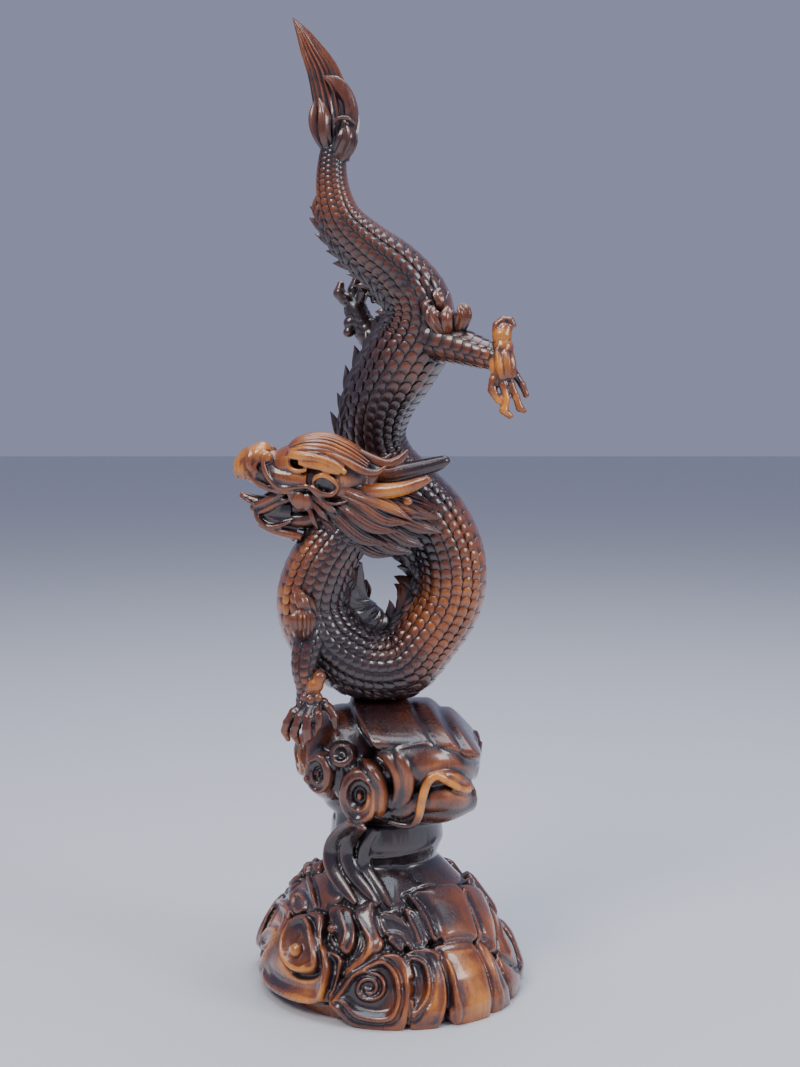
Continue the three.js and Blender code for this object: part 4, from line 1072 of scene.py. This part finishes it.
# Ribbons that run off the waist onto the lower cloud: pixels and girths, and how far they are sunk in
RIBBONS_SUNK = 2.2
RIBBONS = [
    ([(353, 822), (339, 832), (330, 845), (329, 860), (335, 876), (345, 890), (356, 904)],
     (2.2, 2.9, 3.2, 3.3, 3.2, 2.7, 1.1)),
    ([(363, 826), (351, 836), (345, 848), (347, 863), (355, 877), (366, 889), (379, 905)],
     (2.0, 2.7, 3.0, 3.1, 3.0, 2.5, 1.0)),
    ([(375, 829), (367, 842), (362, 855), (364, 868), (372, 879), (381, 891), (391, 907)],
     (1.8, 2.3, 2.6, 2.8, 2.7, 2.3, 0.9)),
]


# The curled lip under the upper cloud's roll: its edge, the fold behind it, its root and the mass it covers
LIP_EDGE = seen_at(
    (388, 821, -27, 1.0), (400, 825, -29, 1.3), (412, 825, -30.5, 1.5), (419, 815, -32, 1.7),
    (422.5, 797, -33, 1.9), (428, 782, -33.5, 1.9), (437, 776, -33, 1.8), (449, 782, -31.5, 1.7),
    (460, 788, -28.5, 1.6), (470, 789.5, -24, 1.4))
LIP_FOLD = seen_at(
    (421, 792, -28, 1.5), (427, 777, -28.5, 2.0), (440, 771, -27, 2.3), (455, 774, -24, 2.3),
    (468, 783, -18, 1.8))
LIP_ROOT = seen_at((392, 808, -24, 3.5), (404, 809, -26, 4.5), (414, 801, -27, 4.2), (420, 788, -27, 2.5))
UNDER_LIP = seen_at(
    (412, 804, -25, 3.6), (425, 800, -25.5, 5.4), (437, 796, -24.5, 7.0), (450, 795, -21, 7.5),
    (463, 797, -14, 6.5))
# Bands that curve down beside the roll
ROLL_ARCS = [
    seen_at((379, 753, -26, 1.6), (390, 760, -30, 2.5), (398, 775, -31.5, 2.7), (399, 792, -30.5, 2.6),
            (391, 808, -28, 1.8)),
    seen_at((390, 750, -26.5, 1.6), (401, 759, -32, 2.3), (408, 776, -33, 2.5), (407, 794, -31.5, 2.4),
            (399, 809, -29, 1.6)),
]


# Beads in the middle of two lobes of the lower cloud: pixel, radius, how proud
BEADS = [((297, 950), 3.0, 1.2), ((332, 929), 2.0, -0.6)]


def lip_block(relief):
    """Forms that stand free of the height: the curled lip, the roll's arcs, the ribbons and two beads."""
    block = Block()
    block.bar(LIP_EDGE, 16, 60)
    block.bar(LIP_FOLD, 20, 40, flat=2.6)
    block.bar(LIP_ROOT, 16, 24)
    block.bar(UNDER_LIP, 24, 24)
    for arc in ROLL_ARCS:
        block.bar(arc, 20, 40, flat=0.8)
    for pixels, girths in RIBBONS:
        seen = relief.seen(pixels)
        places = averaged_run(seen - unit(EYE - seen) * RIBBONS_SUNK)
        block.bar(np.column_stack([places, girths]), 24, 50, flat=0.62, square=0.75)
    for pixel, radius, proud in BEADS:
        place = relief.seen([pixel])[0]
        block.ball(place + unit(EYE - place) * proud, (radius,) * 3, 4)
    return block


# Finish

def neighbours(mesh):
    """Each edge's ends both ways round, and how many edges meet at each point."""
    edges = np.empty(2 * len(mesh.edges), np.int64)
    mesh.edges.foreach_get("vertices", edges)
    edges = edges.reshape(-1, 2)
    ends = np.concatenate([edges[:, 0], edges[:, 1]])
    others = np.concatenate([edges[:, 1], edges[:, 0]])
    return ends, others, np.maximum(np.bincount(ends, minlength=len(mesh.vertices)), 1)


def averaged(values, links, rounds, keep=0.0):
    """Values eased towards their neighbours' mean, round after round."""
    ends, others, count = links
    for _ in range(rounds):
        if values.ndim == 1:
            mean = np.bincount(ends, values[others], len(count)) / count
        else:
            sums = [np.bincount(ends, values[others, k], len(count)) for k in range(3)]
            mean = np.column_stack(sums) / count[:, None]
        values = values * keep + mean * (1 - keep)
    return values


# Where hands and dusters have rubbed the polish back to amber, and painted highlights on lit tops such as
# the forehead and the ring's right flank: pixel, depth, radius in mm, strength
RUBBED_AND_HIGHLIGHTS = [
    ((262, 449), -20, 7, 1.0), ((243, 464), -18, 8, 0.8), ((300, 461), -27, 8, 0.9),
    ((326, 466), -29, 9, 0.8), ((280, 470), -22, 8, 0.45), ((344, 472), -29, 5, 1.0),
    ((398, 492), -32, 9, 0.75), ((420, 486), -32, 6, 0.65), ((330, 445), -22, 14, 0.75),
    ((304, 447), -22, 8, 0.7), ((296, 502), -26, 5, 0.4), ((266, 508), -22, 6, 0.35),
    ((290, 498), -26, 4, 0.5), ((314, 683), -22, 5, 1.0), ((289, 730), -20, 4, 1.0),
    ((303, 736), -24, 4, 0.6), ((316, 734), -24, 4, 0.5), ((430, 612), 0, 13, 0.75),
    ((452, 596), 0, 15, 0.85), ((466, 560), 2, 13, 0.6), ((442, 640), -2, 12, 0.55),
    ((455, 530), 2, 14, 0.5), ((288, 560), -20, 10, 0.5), ((498, 365), -22, 6, 0.8),
    ((502, 337), -20, 5, 1.0), ((505, 403), -24, 6, 0.9), ((278, 600), -16, 12, 0.75),
    ((279, 634), -12, 12, 0.6), ((296, 548), -22, 9, 0.5), ((318, 100), 0, 8, 0.3), ((300, 60), 0, 10, 0.4),
    ((325, 200), -4, 10, 0.35), ((455, 330), -10, 8, 0.3), ((500, 400), -20, 8, 0.4),
    ((410, 380), -12, 12, 0.25), ((405, 775), -30, 6, 0.7), ((446, 758), -28, 8, 0.4),
    ((421, 808), -33, 5, 0.9), ((425, 793), -34, 5, 1.0), ((437, 777), -34, 6, 1.0),
    ((453, 785), -31, 5, 1.0), ((466, 789), -26, 5, 0.9), ((372, 805), -32, 7, 0.8),
    ((300, 765), -14, 9, 0.8), ((327, 785), -22, 5, 0.6), ((275, 960), -36, 14, 0.9),
    ((292, 990), -44, 13, 0.95), ((290, 925), -38, 8, 0.7), ((262, 935), -12, 15, 0.9),
    ((312, 940), -44, 8, 0.45), ((322, 995), -50, 6, 0.9), ((365, 950), -50, 8, 0.7),
    ((354, 960), -50, 6, 0.5), ((345, 930), -48, 4, 0.5), ((465, 962), -42, 9, 0.85),
    ((475, 1000), -44, 11, 0.7), ((488, 895), -28, 10, 0.8), ((497, 960), -34, 12, 0.6),
    ((510, 920), -14, 10, 0.75), ((435, 1000), -52, 8, 0.6), ((398, 1010), -53, 8, 0.5),
    ((400, 975), -52, 6, 0.5), ((272, 888), -14, 13, 0.7), ((308, 868), -30, 4, 0.6),
]
# Painted shade: soft dark spots where shade falls, in the ring's hollow, behind the mane, in the eye and
# mouth and on the far horn: pixel, depth, radius, strength
PAINTED_SHADE_SPOTS = [
    ((350, 605), -2, 20, 0.6), ((332, 650), -8, 15, 0.6), ((345, 545), -10, 14, 0.5),
    ((400, 548), -4, 16, 0.7), ((372, 405), 6, 24, 0.4), ((400, 852), -20, 22, 0.35),
    ((352, 308), 16, 14, 0.3), ((438, 700), -10, 22, 0.2), ((380, 690), -12, 14, 0.4),
    ((340, 745), -20, 14, 0.2), ((345, 138), 0, 12, 0.3), ((395, 930), -40, 14, 0.15),
    ((430, 505), 4, 14, 0.4), ((325, 486), -27, 2.6, 1.0), ((430, 467), -6, 14, 0.5),
    ((288, 509), -20, 4, 0.5), ((420, 720), -24, 16, 0.2),
]


def spotted(places, spots):
    """The strongest of some soft round spots at each place."""
    most = np.zeros(len(places))
    for (u, v), y, radius, strength in spots:
        far = np.linalg.norm(places - at(u, v, y), axis=1) / radius
        most = np.maximum(most, strength * np.exp(-far * far * 0.9))
    return most


def wear_and_painted_shade(mesh, rays, reach):
    """Marks each point with how open it is, which paints shade into its hollows, how much of an edge it is
    on, and how much handling, painted highlight and painted shade it gets.
    """
    count = len(mesh.vertices)
    places = np.empty(3 * count)
    mesh.vertices.foreach_get("co", places)
    places = places.reshape(-1, 3)
    normals = np.empty(3 * count, np.float32)
    mesh.vertex_normals.foreach_get("vector", normals)
    normals = normals.reshape(-1, 3).astype(float)
    links = neighbours(mesh)
    bm = bmesh.new()
    bm.from_mesh(mesh)
    tree = BVHTree.FromBMesh(bm)
    bm.free()
    # Rays leave each point in a fixed fan about its normal; the share that gets out is painted shade in the
    # hollows, as well as the old polish that darkens there
    helper = np.where(np.abs(normals[:, 2:3]) < 0.9, UP, np.array((1.0, 0, 0)))
    right = unit(np.cross(helper, normals))
    ahead = np.cross(normals, right)
    open_share = np.zeros(count)
    starts = places + normals * 0.25
    for k in range(rays):
        turn = 2.4 * k
        tilt = math.sqrt((k + 0.5) / rays) * 0.95
        rise = math.sqrt(1 - tilt * tilt)
        lines = normals * rise + right * (math.cos(turn) * tilt) + ahead * (math.sin(turn) * tilt)
        hits = np.ones(count)
        cast = tree.ray_cast
        for i, (start, line) in enumerate(zip(starts.tolist(), lines.tolist())):
            distance = cast(start, line, reach)[3]
            if distance is not None:
                hits[i] = distance / reach
        open_share += hits
    open_share = averaged(open_share / rays, links, 2, 0.4)
    flattened = averaged(places, links, 6)
    edge = ((places - flattened) * normals).sum(1)
    edge = averaged(edge, links, 1, 0.5)
    rub_and_painted_light = spotted(places, RUBBED_AND_HIGHLIGHTS) - spotted(places, PAINTED_SHADE_SPOTS)
    for name, values in (("open", open_share), ("edge", np.clip(0.5 + edge, 0, 1)), ("rub_and_painted_light", rub_and_painted_light)):
        attribute = mesh.attributes.new(name, "FLOAT", "POINT")
        attribute.data.foreach_set("value", values.astype(np.float32))


def joined(name, meshes):
    """One mesh of several, which are used up."""
    bm = bmesh.new()
    for mesh in meshes:
        bm.from_mesh(mesh)
        bpy.data.meshes.remove(mesh)
    bmesh.ops.triangulate(bm, faces=[f for f in bm.faces if len(f.verts) > 4])
    made = bpy.data.meshes.new(name)
    bm.to_mesh(made)
    bm.free()
    return made


def stood(mesh):
    """The mesh cut flat at the table and closed there. The mesh given is used up."""
    bm = bmesh.new()
    bm.from_mesh(mesh)
    bpy.data.meshes.remove(mesh)
    whole = bm.verts[:] + bm.edges[:] + bm.faces[:]
    cut = bmesh.ops.bisect_plane(bm, geom=whole, plane_co=(0, 0, 0), plane_no=(0, 0, 1), clear_inner=True)
    rim = [g for g in cut["geom_cut"] if isinstance(g, bmesh.types.BMEdge)]
    bmesh.ops.holes_fill(bm, edges=rim, sides=0)
    bmesh.ops.triangulate(bm, faces=[f for f in bm.faces if len(f.verts) > 4])
    made = bpy.data.meshes.new("cloud_plinth")
    bm.to_mesh(made)
    bm.free()
    return made


def finished(name, node, mesh, material, rays=7, reach=7.0, crease=48):
    """Marks the wear, the painted shade and the painted highlights, brings the mesh to metres, and sets the
    piece in the frame for its CAD node.
    """
    wear_and_painted_shade(mesh, rays, reach)
    mesh.transform(Matrix.Scale(MM, 4))
    mesh.shade_smooth()
    mesh.set_sharp_from_angle(angle=math.radians(crease))
    mesh.materials.append(material)
    piece = bpy.data.objects.new(name, mesh)
    bpy.context.scene.collection.objects.link(piece)
    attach(piece, "root")
    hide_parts(node)
    return piece


# Material

def node(tree, kind, settings=None, **inputs):
    """A shader node. An input is given by name, or as _ and its number, and is a value or a socket."""
    made = tree.nodes.new(kind)
    for key, value in (settings or {}).items():
        setattr(made, key, value)
    for key, value in inputs.items():
        socket = made.inputs[int(key[1:])] if key[0] == "_" else made.inputs[key.replace("_", " ")]
        if isinstance(value, bpy.types.NodeSocket):
            tree.links.new(value, socket)
        else:
            socket.default_value = value
    return made


def math_node(tree, operation, a, b=0.0, c=0.0):
    """One sum of values or sockets."""
    return node(tree, "ShaderNodeMath", {"operation": operation}, _0=a, _1=b, _2=c).outputs[0]


def noise(tree, place, **how):
    """Cloudy noise, about a half, at a place."""
    return node(tree, "ShaderNodeTexNoise", None, Vector=place, **how).outputs["Fac"]


def soft_step(tree, value, low, high):
    """0 up to low, 1 from high on, and eased between them."""
    how = {"interpolation_type": "SMOOTHSTEP"}
    return node(tree, "ShaderNodeMapRange", how, Value=value, From_Min=low, From_Max=high).outputs[0]


def varied(tree, base, value, share):
    """The base, moved up and down by a share of a value that lies about a half."""
    return math_node(tree, "MULTIPLY_ADD", math_node(tree, "SUBTRACT", value, 0.5), share, base)


def mark(tree, name):
    """The wear that the mesh carries under a name."""
    return node(tree, "ShaderNodeAttribute", {"attribute_name": name}).outputs["Fac"]


def boxwood(colours):
    """Old boxwood under polish: near black in its hollows, from old polish and painted shade, red brown on
    its faces, amber where rubbed and paler where highlights are painted on lit tops.
    """
    material = bpy.data.materials.new("old_boxwood")
    material.use_nodes = True
    tree = material.node_tree
    tree.nodes.clear()
    output = node(tree, "ShaderNodeOutputMaterial")
    place = node(tree, "ShaderNodeTexCoord").outputs["Object"]
    upright = node(tree, "ShaderNodeMapping", None, Vector=place, Rotation=(0.06, 0.04, 0),
                   Scale=(900, 900, 60)).outputs[0]
    grain = noise(tree, upright, Scale=1.0, Detail=5.0, Roughness=0.62, Distortion=0.6)
    pores = noise(tree, place, Scale=2600.0, Detail=3.0, Roughness=0.7)
    cloudy = noise(tree, place, Scale=75.0, Detail=4.0, Roughness=0.6)
    broad = noise(tree, place, Scale=22.0, Detail=2.0, Roughness=0.5)
    openness, edge, rub_and_painted_light = mark(tree, "open"), mark(tree, "edge"), mark(tree, "rub_and_painted_light")

    # How light the wood is: painted shade where the hollows close in, lighter on worn ridges, amber where
    # hands reach and where highlights are painted, and painted shade at the listed dark spots
    lit = soft_step(tree, openness, 0.25, 0.95)
    ridge = soft_step(tree, edge, 0.5, 0.72)
    tone = math_node(tree, "MULTIPLY", lit, 0.36)
    tone = math_node(tree, "MULTIPLY_ADD", ridge, 0.22, tone)
    reach = math_node(tree, "MULTIPLY", rub_and_painted_light, math_node(tree, "MULTIPLY_ADD", lit, 0.75, 0.2))
    reach = math_node(tree, "MULTIPLY", reach, math_node(tree, "MULTIPLY_ADD", cloudy, 0.9, 0.5))
    tone = math_node(tree, "MULTIPLY_ADD", reach, 0.56, tone)
    tone = varied(tree, tone, cloudy, 0.22)
    tone = varied(tree, tone, broad, 0.16)
    tone = varied(tree, tone, grain, 0.16)
    # The ramp's low stops show painted shade, and its top stops show rubbed amber and painted highlights
    ramp = node(tree, "ShaderNodeValToRGB", None, Fac=tone)
    steps = ramp.color_ramp
    for _ in range(3):
        steps.elements.new(0.5)
    stops = ((0.0, colours.hollow), (0.24, colours.shade), (0.46, colours.face), (0.74, colours.amber),
             (1.0, colours.bright))
    for element, (share, colour) in zip(steps.elements, stops):
        element.position = share
        element.color = (*colour, 1.0)

    # Roughness and relief: polish is duller in the hollows, and the grain stands up a little
    gloss = node(tree, "ShaderNodeMapRange", None, Value=grain, From_Min=0.3, From_Max=0.7, To_Min=0.24,
                 To_Max=0.34).outputs[0]
    gloss = varied(tree, gloss, cloudy, 0.2)
    gloss = math_node(tree, "MULTIPLY_ADD", math_node(tree, "SUBTRACT", 1.0, lit), 0.22, gloss)
    relief = math_node(tree, "MULTIPLY_ADD", grain, 0.6, math_node(tree, "MULTIPLY", pores, 0.4))
    relief = math_node(tree, "MULTIPLY_ADD", cloudy, 0.8, relief)
    bump = node(tree, "ShaderNodeBump", None, Strength=0.28, Distance=0.0005, Height=relief).outputs[0]
    shader = node(tree, "ShaderNodeBsdfPrincipled", None, Base_Color=ramp.outputs["Color"], Roughness=gloss,
                  Normal=bump)
    shader.inputs["IOR"].default_value = 1.52
    shader.inputs["Specular IOR Level"].default_value = 0.7
    shader.inputs["Coat Weight"].default_value = 0.9
    shader.inputs["Coat Roughness"].default_value = 0.09
    tree.links.new(shader.outputs[0], output.inputs[0])
    return material


# Settings

class CarvingSizes(bpy.types.PropertyGroup):
    columns: IntProperty(name="Scale columns", description="Columns of scales on each flank", default=7,
                         min=4, max=12)
    flank: FloatProperty(name="Flank",
                         description="Degrees of the body's section under each flank's scales",
                         default=122.0)
    crest_room: FloatProperty(name="Crest room",
                              description="Degrees beside the back line left to the crest's hair",
                              default=20.0)
    scale_pitch: FloatProperty(name="Scale pitch",
                               description="Length between scales, as a share of the body's radius",
                               default=0.35)
    belly_pitch: FloatProperty(name="Belly pitch",
                               description="Length between belly plates, as a share of the radius",
                               default=0.32)
    crest: FloatProperty(name="Crest height", description="Height of a flame on the thickest part, in mm",
                         default=6.6)
    head_voxel: FloatProperty(name="Head detail", description="Finest detail of the head and legs, in mm",
                              default=0.36)
    cloud_voxel: FloatProperty(name="Cloud detail", description="Finest detail of the clouds, in mm",
                               default=0.55)


class PolishAndShadeColours(bpy.types.PropertyGroup):
    # Hollows and Shade are the colours of painted shade as well as of the old polish in the cuts
    hollow: FloatVectorProperty(name="Hollows", description="Colour in the deep cuts", subtype="COLOR",
                                default=(0.0075, 0.0036, 0.0055))
    shade: FloatVectorProperty(name="Shade", description="Colour beside the cuts", subtype="COLOR",
                               default=(0.0135, 0.0046, 0.007))
    face: FloatVectorProperty(name="Faces", description="Colour of the open faces", subtype="COLOR",
                              default=(0.033, 0.0082, 0.0085))
    # Amber and Bright are also the colours of painted highlights on lit tops
    amber: FloatVectorProperty(name="Amber", description="Colour where the carving is handled",
                               subtype="COLOR", default=(0.29, 0.066, 0.0055))
    bright: FloatVectorProperty(name="Bright", description="Colour of the most rubbed edges",
                                subtype="COLOR", default=(0.78, 0.27, 0.022))


class StudioSettings(bpy.types.PropertyGroup):
    key: FloatProperty(name="Key light", description="Power of the soft light at the upper left",
                       default=7.5, unit="POWER")
    fill: FloatProperty(name="Fill light", description="Power of the light at the right", default=4.5,
                        unit="POWER")
    sky: FloatProperty(name="Top light", description="Power of the broad cool light overhead", default=12.0,
                       unit="POWER")
    room: FloatVectorProperty(name="Room", description="Colour of the room's light", subtype="COLOR",
                              default=(0.42, 0.45, 0.66))
    room_strength: FloatProperty(name="Room strength", description="Strength of the room's light",
                                 default=0.6)
    floor: FloatVectorProperty(name="Floor", description="Colour of the floor", subtype="COLOR",
                               default=(0.72, 0.72, 0.74))


def shared_material():
    """The one finish that both pieces have."""
    found = bpy.data.materials.get("old_boxwood")
    return found or boxwood(bpy.context.scene.dragon_polish)


# Operators

class DRAGON_OT_dragon(bpy.types.Operator):
    """Carve the dragon: body, scales, crest, head, mane, legs and tail tuft"""

    bl_idname = "dragon.carve_dragon"
    bl_label = "Carve the dragon"

    def execute(self, context):
        sizes = context.scene.dragon_sizes
        flesh = head_block().moved(HEAD_TURN, HEAD_PLACE)
        legs = legs_block()
        held = legs.mesh("legs")
        flesh.bm.from_mesh(held)
        bpy.data.meshes.remove(held)
        meshes = [melted(flesh, sizes.head_voxel, HEAD_TRIANGLES)]
        meshes.append(body_block(sizes).mesh("body"))
        meshes.append(crest_block(sizes).mesh("crest"))
        meshes.append(hair_block().moved(HEAD_TURN, HEAD_PLACE).mesh("hair"))
        meshes += [made.mesh("part") for made in (leg_scales_block(), tuft_block(), tail_block())]
        whole = thinned(joined("dragon_carving", meshes), DRAGON_TRIANGLES)
        finished("dragon_carving", "dragon", whole, shared_material())
        return {"FINISHED"}


class DRAGON_OT_plinth(bpy.types.Operator):
    """Carve the cloud plinth: its masses, curls, lobes, slabs and ribbons"""

    bl_idname = "dragon.carve_plinth"
    bl_label = "Carve the cloud plinth"

    def execute(self, context):
        sizes = context.scene.dragon_sizes
        relief = Relief(melted(cloud_core(), sizes.cloud_voxel, CORE_TRIANGLES, smooth=4))
        lower_relief(relief)
        upper_relief(relief)
        free = lip_block(relief)
        held = relief.given()
        free.bm.from_mesh(held)
        bpy.data.meshes.remove(held)
        mesh = stood(melted(free, sizes.cloud_voxel, PLINTH_TRIANGLES, smooth=1))
        finished("cloud_plinth_carving", "cloud_plinth", mesh, shared_material(), reach=10.0, crease=60)
        return {"FINISHED"}


def soft_light(name, place, target, power, size, colour):
    """A square light at a place, turned to its target."""
    light = bpy.data.lights.new(name, "AREA")
    light.energy, light.size, light.color = power, size, colour
    lamp = bpy.data.objects.new(name, light)
    lamp.location = place
    lamp.rotation_euler = (Vector(target) - Vector(place)).to_track_quat("-Z", "Y").to_euler()
    bpy.context.scene.collection.objects.link(lamp)


class DRAGON_OT_stage(bpy.types.Operator):
    """Set out the pale floor, the soft lights and the camera"""

    bl_idname = "dragon.set_stage"
    bl_label = "Set the stage"

    def execute(self, context):
        studio = context.scene.dragon_studio
        bm = bmesh.new()
        bmesh.ops.create_grid(bm, x_segments=1, y_segments=1, size=6)
        mesh = bpy.data.meshes.new("floor")
        bm.to_mesh(mesh)
        bm.free()
        floor = bpy.data.objects.new("floor", mesh)
        context.scene.collection.objects.link(floor)
        material = bpy.data.materials.new("floor")
        material.use_nodes = True
        tree = material.node_tree
        shader = tree.nodes["Principled BSDF"]
        place = node(tree, "ShaderNodeTexCoord").outputs["Object"]
        speck = noise(tree, place, Scale=900.0, Detail=2.0)
        bump = node(tree, "ShaderNodeBump", None, Strength=0.1, Distance=0.0005, Height=speck).outputs[0]
        tree.links.new(bump, shader.inputs["Normal"])
        shader.inputs["Base Color"].default_value = (*studio.floor, 1)
        shader.inputs["Roughness"].default_value = 0.85
        mesh.materials.append(material)
        soft_light("key", (-0.5, -0.7, 1.1), (0, 0, 0.2), studio.key, 0.45, (1.0, 0.96, 0.9))
        soft_light("fill", (0.9, -0.5, 0.65), (0, 0, 0.18), studio.fill, 0.4, (0.95, 0.97, 1.0))
        soft_light("sky", (0.1, 0.1, 1.25), (0, 0, 0.2), studio.sky, 1.0, (0.8, 0.88, 1.0))
        world = bpy.data.worlds.new("room")
        world.use_nodes = True
        backdrop = world.node_tree.nodes["Background"]
        backdrop.inputs["Color"].default_value = (*studio.room, 1)
        backdrop.inputs["Strength"].default_value = studio.room_strength
        context.scene.world = world
        camera = bpy.data.cameras.new("camera")
        camera.sensor_fit = "VERTICAL"
        camera.sensor_height = SENSOR_HEIGHT
        camera.lens = FOCAL / FRAME_HEIGHT * SENSOR_HEIGHT
        camera.clip_start, camera.clip_end = 0.01, 50
        held = bpy.data.objects.new("camera", camera)
        held.location = EYE * MM
        held.rotation_euler = (math.pi / 2 - LOOK_DOWN, 0, 0)
        context.scene.collection.objects.link(held)
        context.scene.camera = held
        return {"FINISHED"}


class DRAGON_PT_panel(bpy.types.Panel):
    """The carving's steps, in order"""

    bl_idname = "DRAGON_PT_panel"
    bl_label = "Boxwood dragon"
    bl_space_type = "VIEW_3D"
    bl_region_type = "UI"
    bl_category = "Dragon"

    def draw(self, context):
        for step in STEPS:
            self.layout.operator(step.bl_idname)
        for group in (context.scene.dragon_sizes, context.scene.dragon_polish, context.scene.dragon_studio):
            for name in group.bl_rna.properties.keys():
                if name not in ("rna_type", "name"):
                    self.layout.prop(group, name)


STEPS = (DRAGON_OT_dragon, DRAGON_OT_plinth, DRAGON_OT_stage)
GROUPS = (("dragon_sizes", CarvingSizes), ("dragon_polish", PolishAndShadeColours),
          ("dragon_studio", StudioSettings))


def register():
    for name, group in GROUPS:
        bpy.utils.register_class(group)
        setattr(bpy.types.Scene, name, PointerProperty(type=group))
    for kind in (*STEPS, DRAGON_PT_panel):
        bpy.utils.register_class(kind)


def unregister():
    for kind in reversed((*STEPS, DRAGON_PT_panel)):
        bpy.utils.unregister_class(kind)
    for name, group in reversed(GROUPS):
        delattr(bpy.types.Scene, name)
        bpy.utils.unregister_class(group)


def main():
    register()
    bpy.ops.dragon.carve_dragon()
    bpy.ops.dragon.carve_plinth()
    bpy.ops.dragon.set_stage()
    for shape, _ in _moulds.values():
        bpy.data.meshes.remove(shape)


if __name__ == "__main__":
    main()
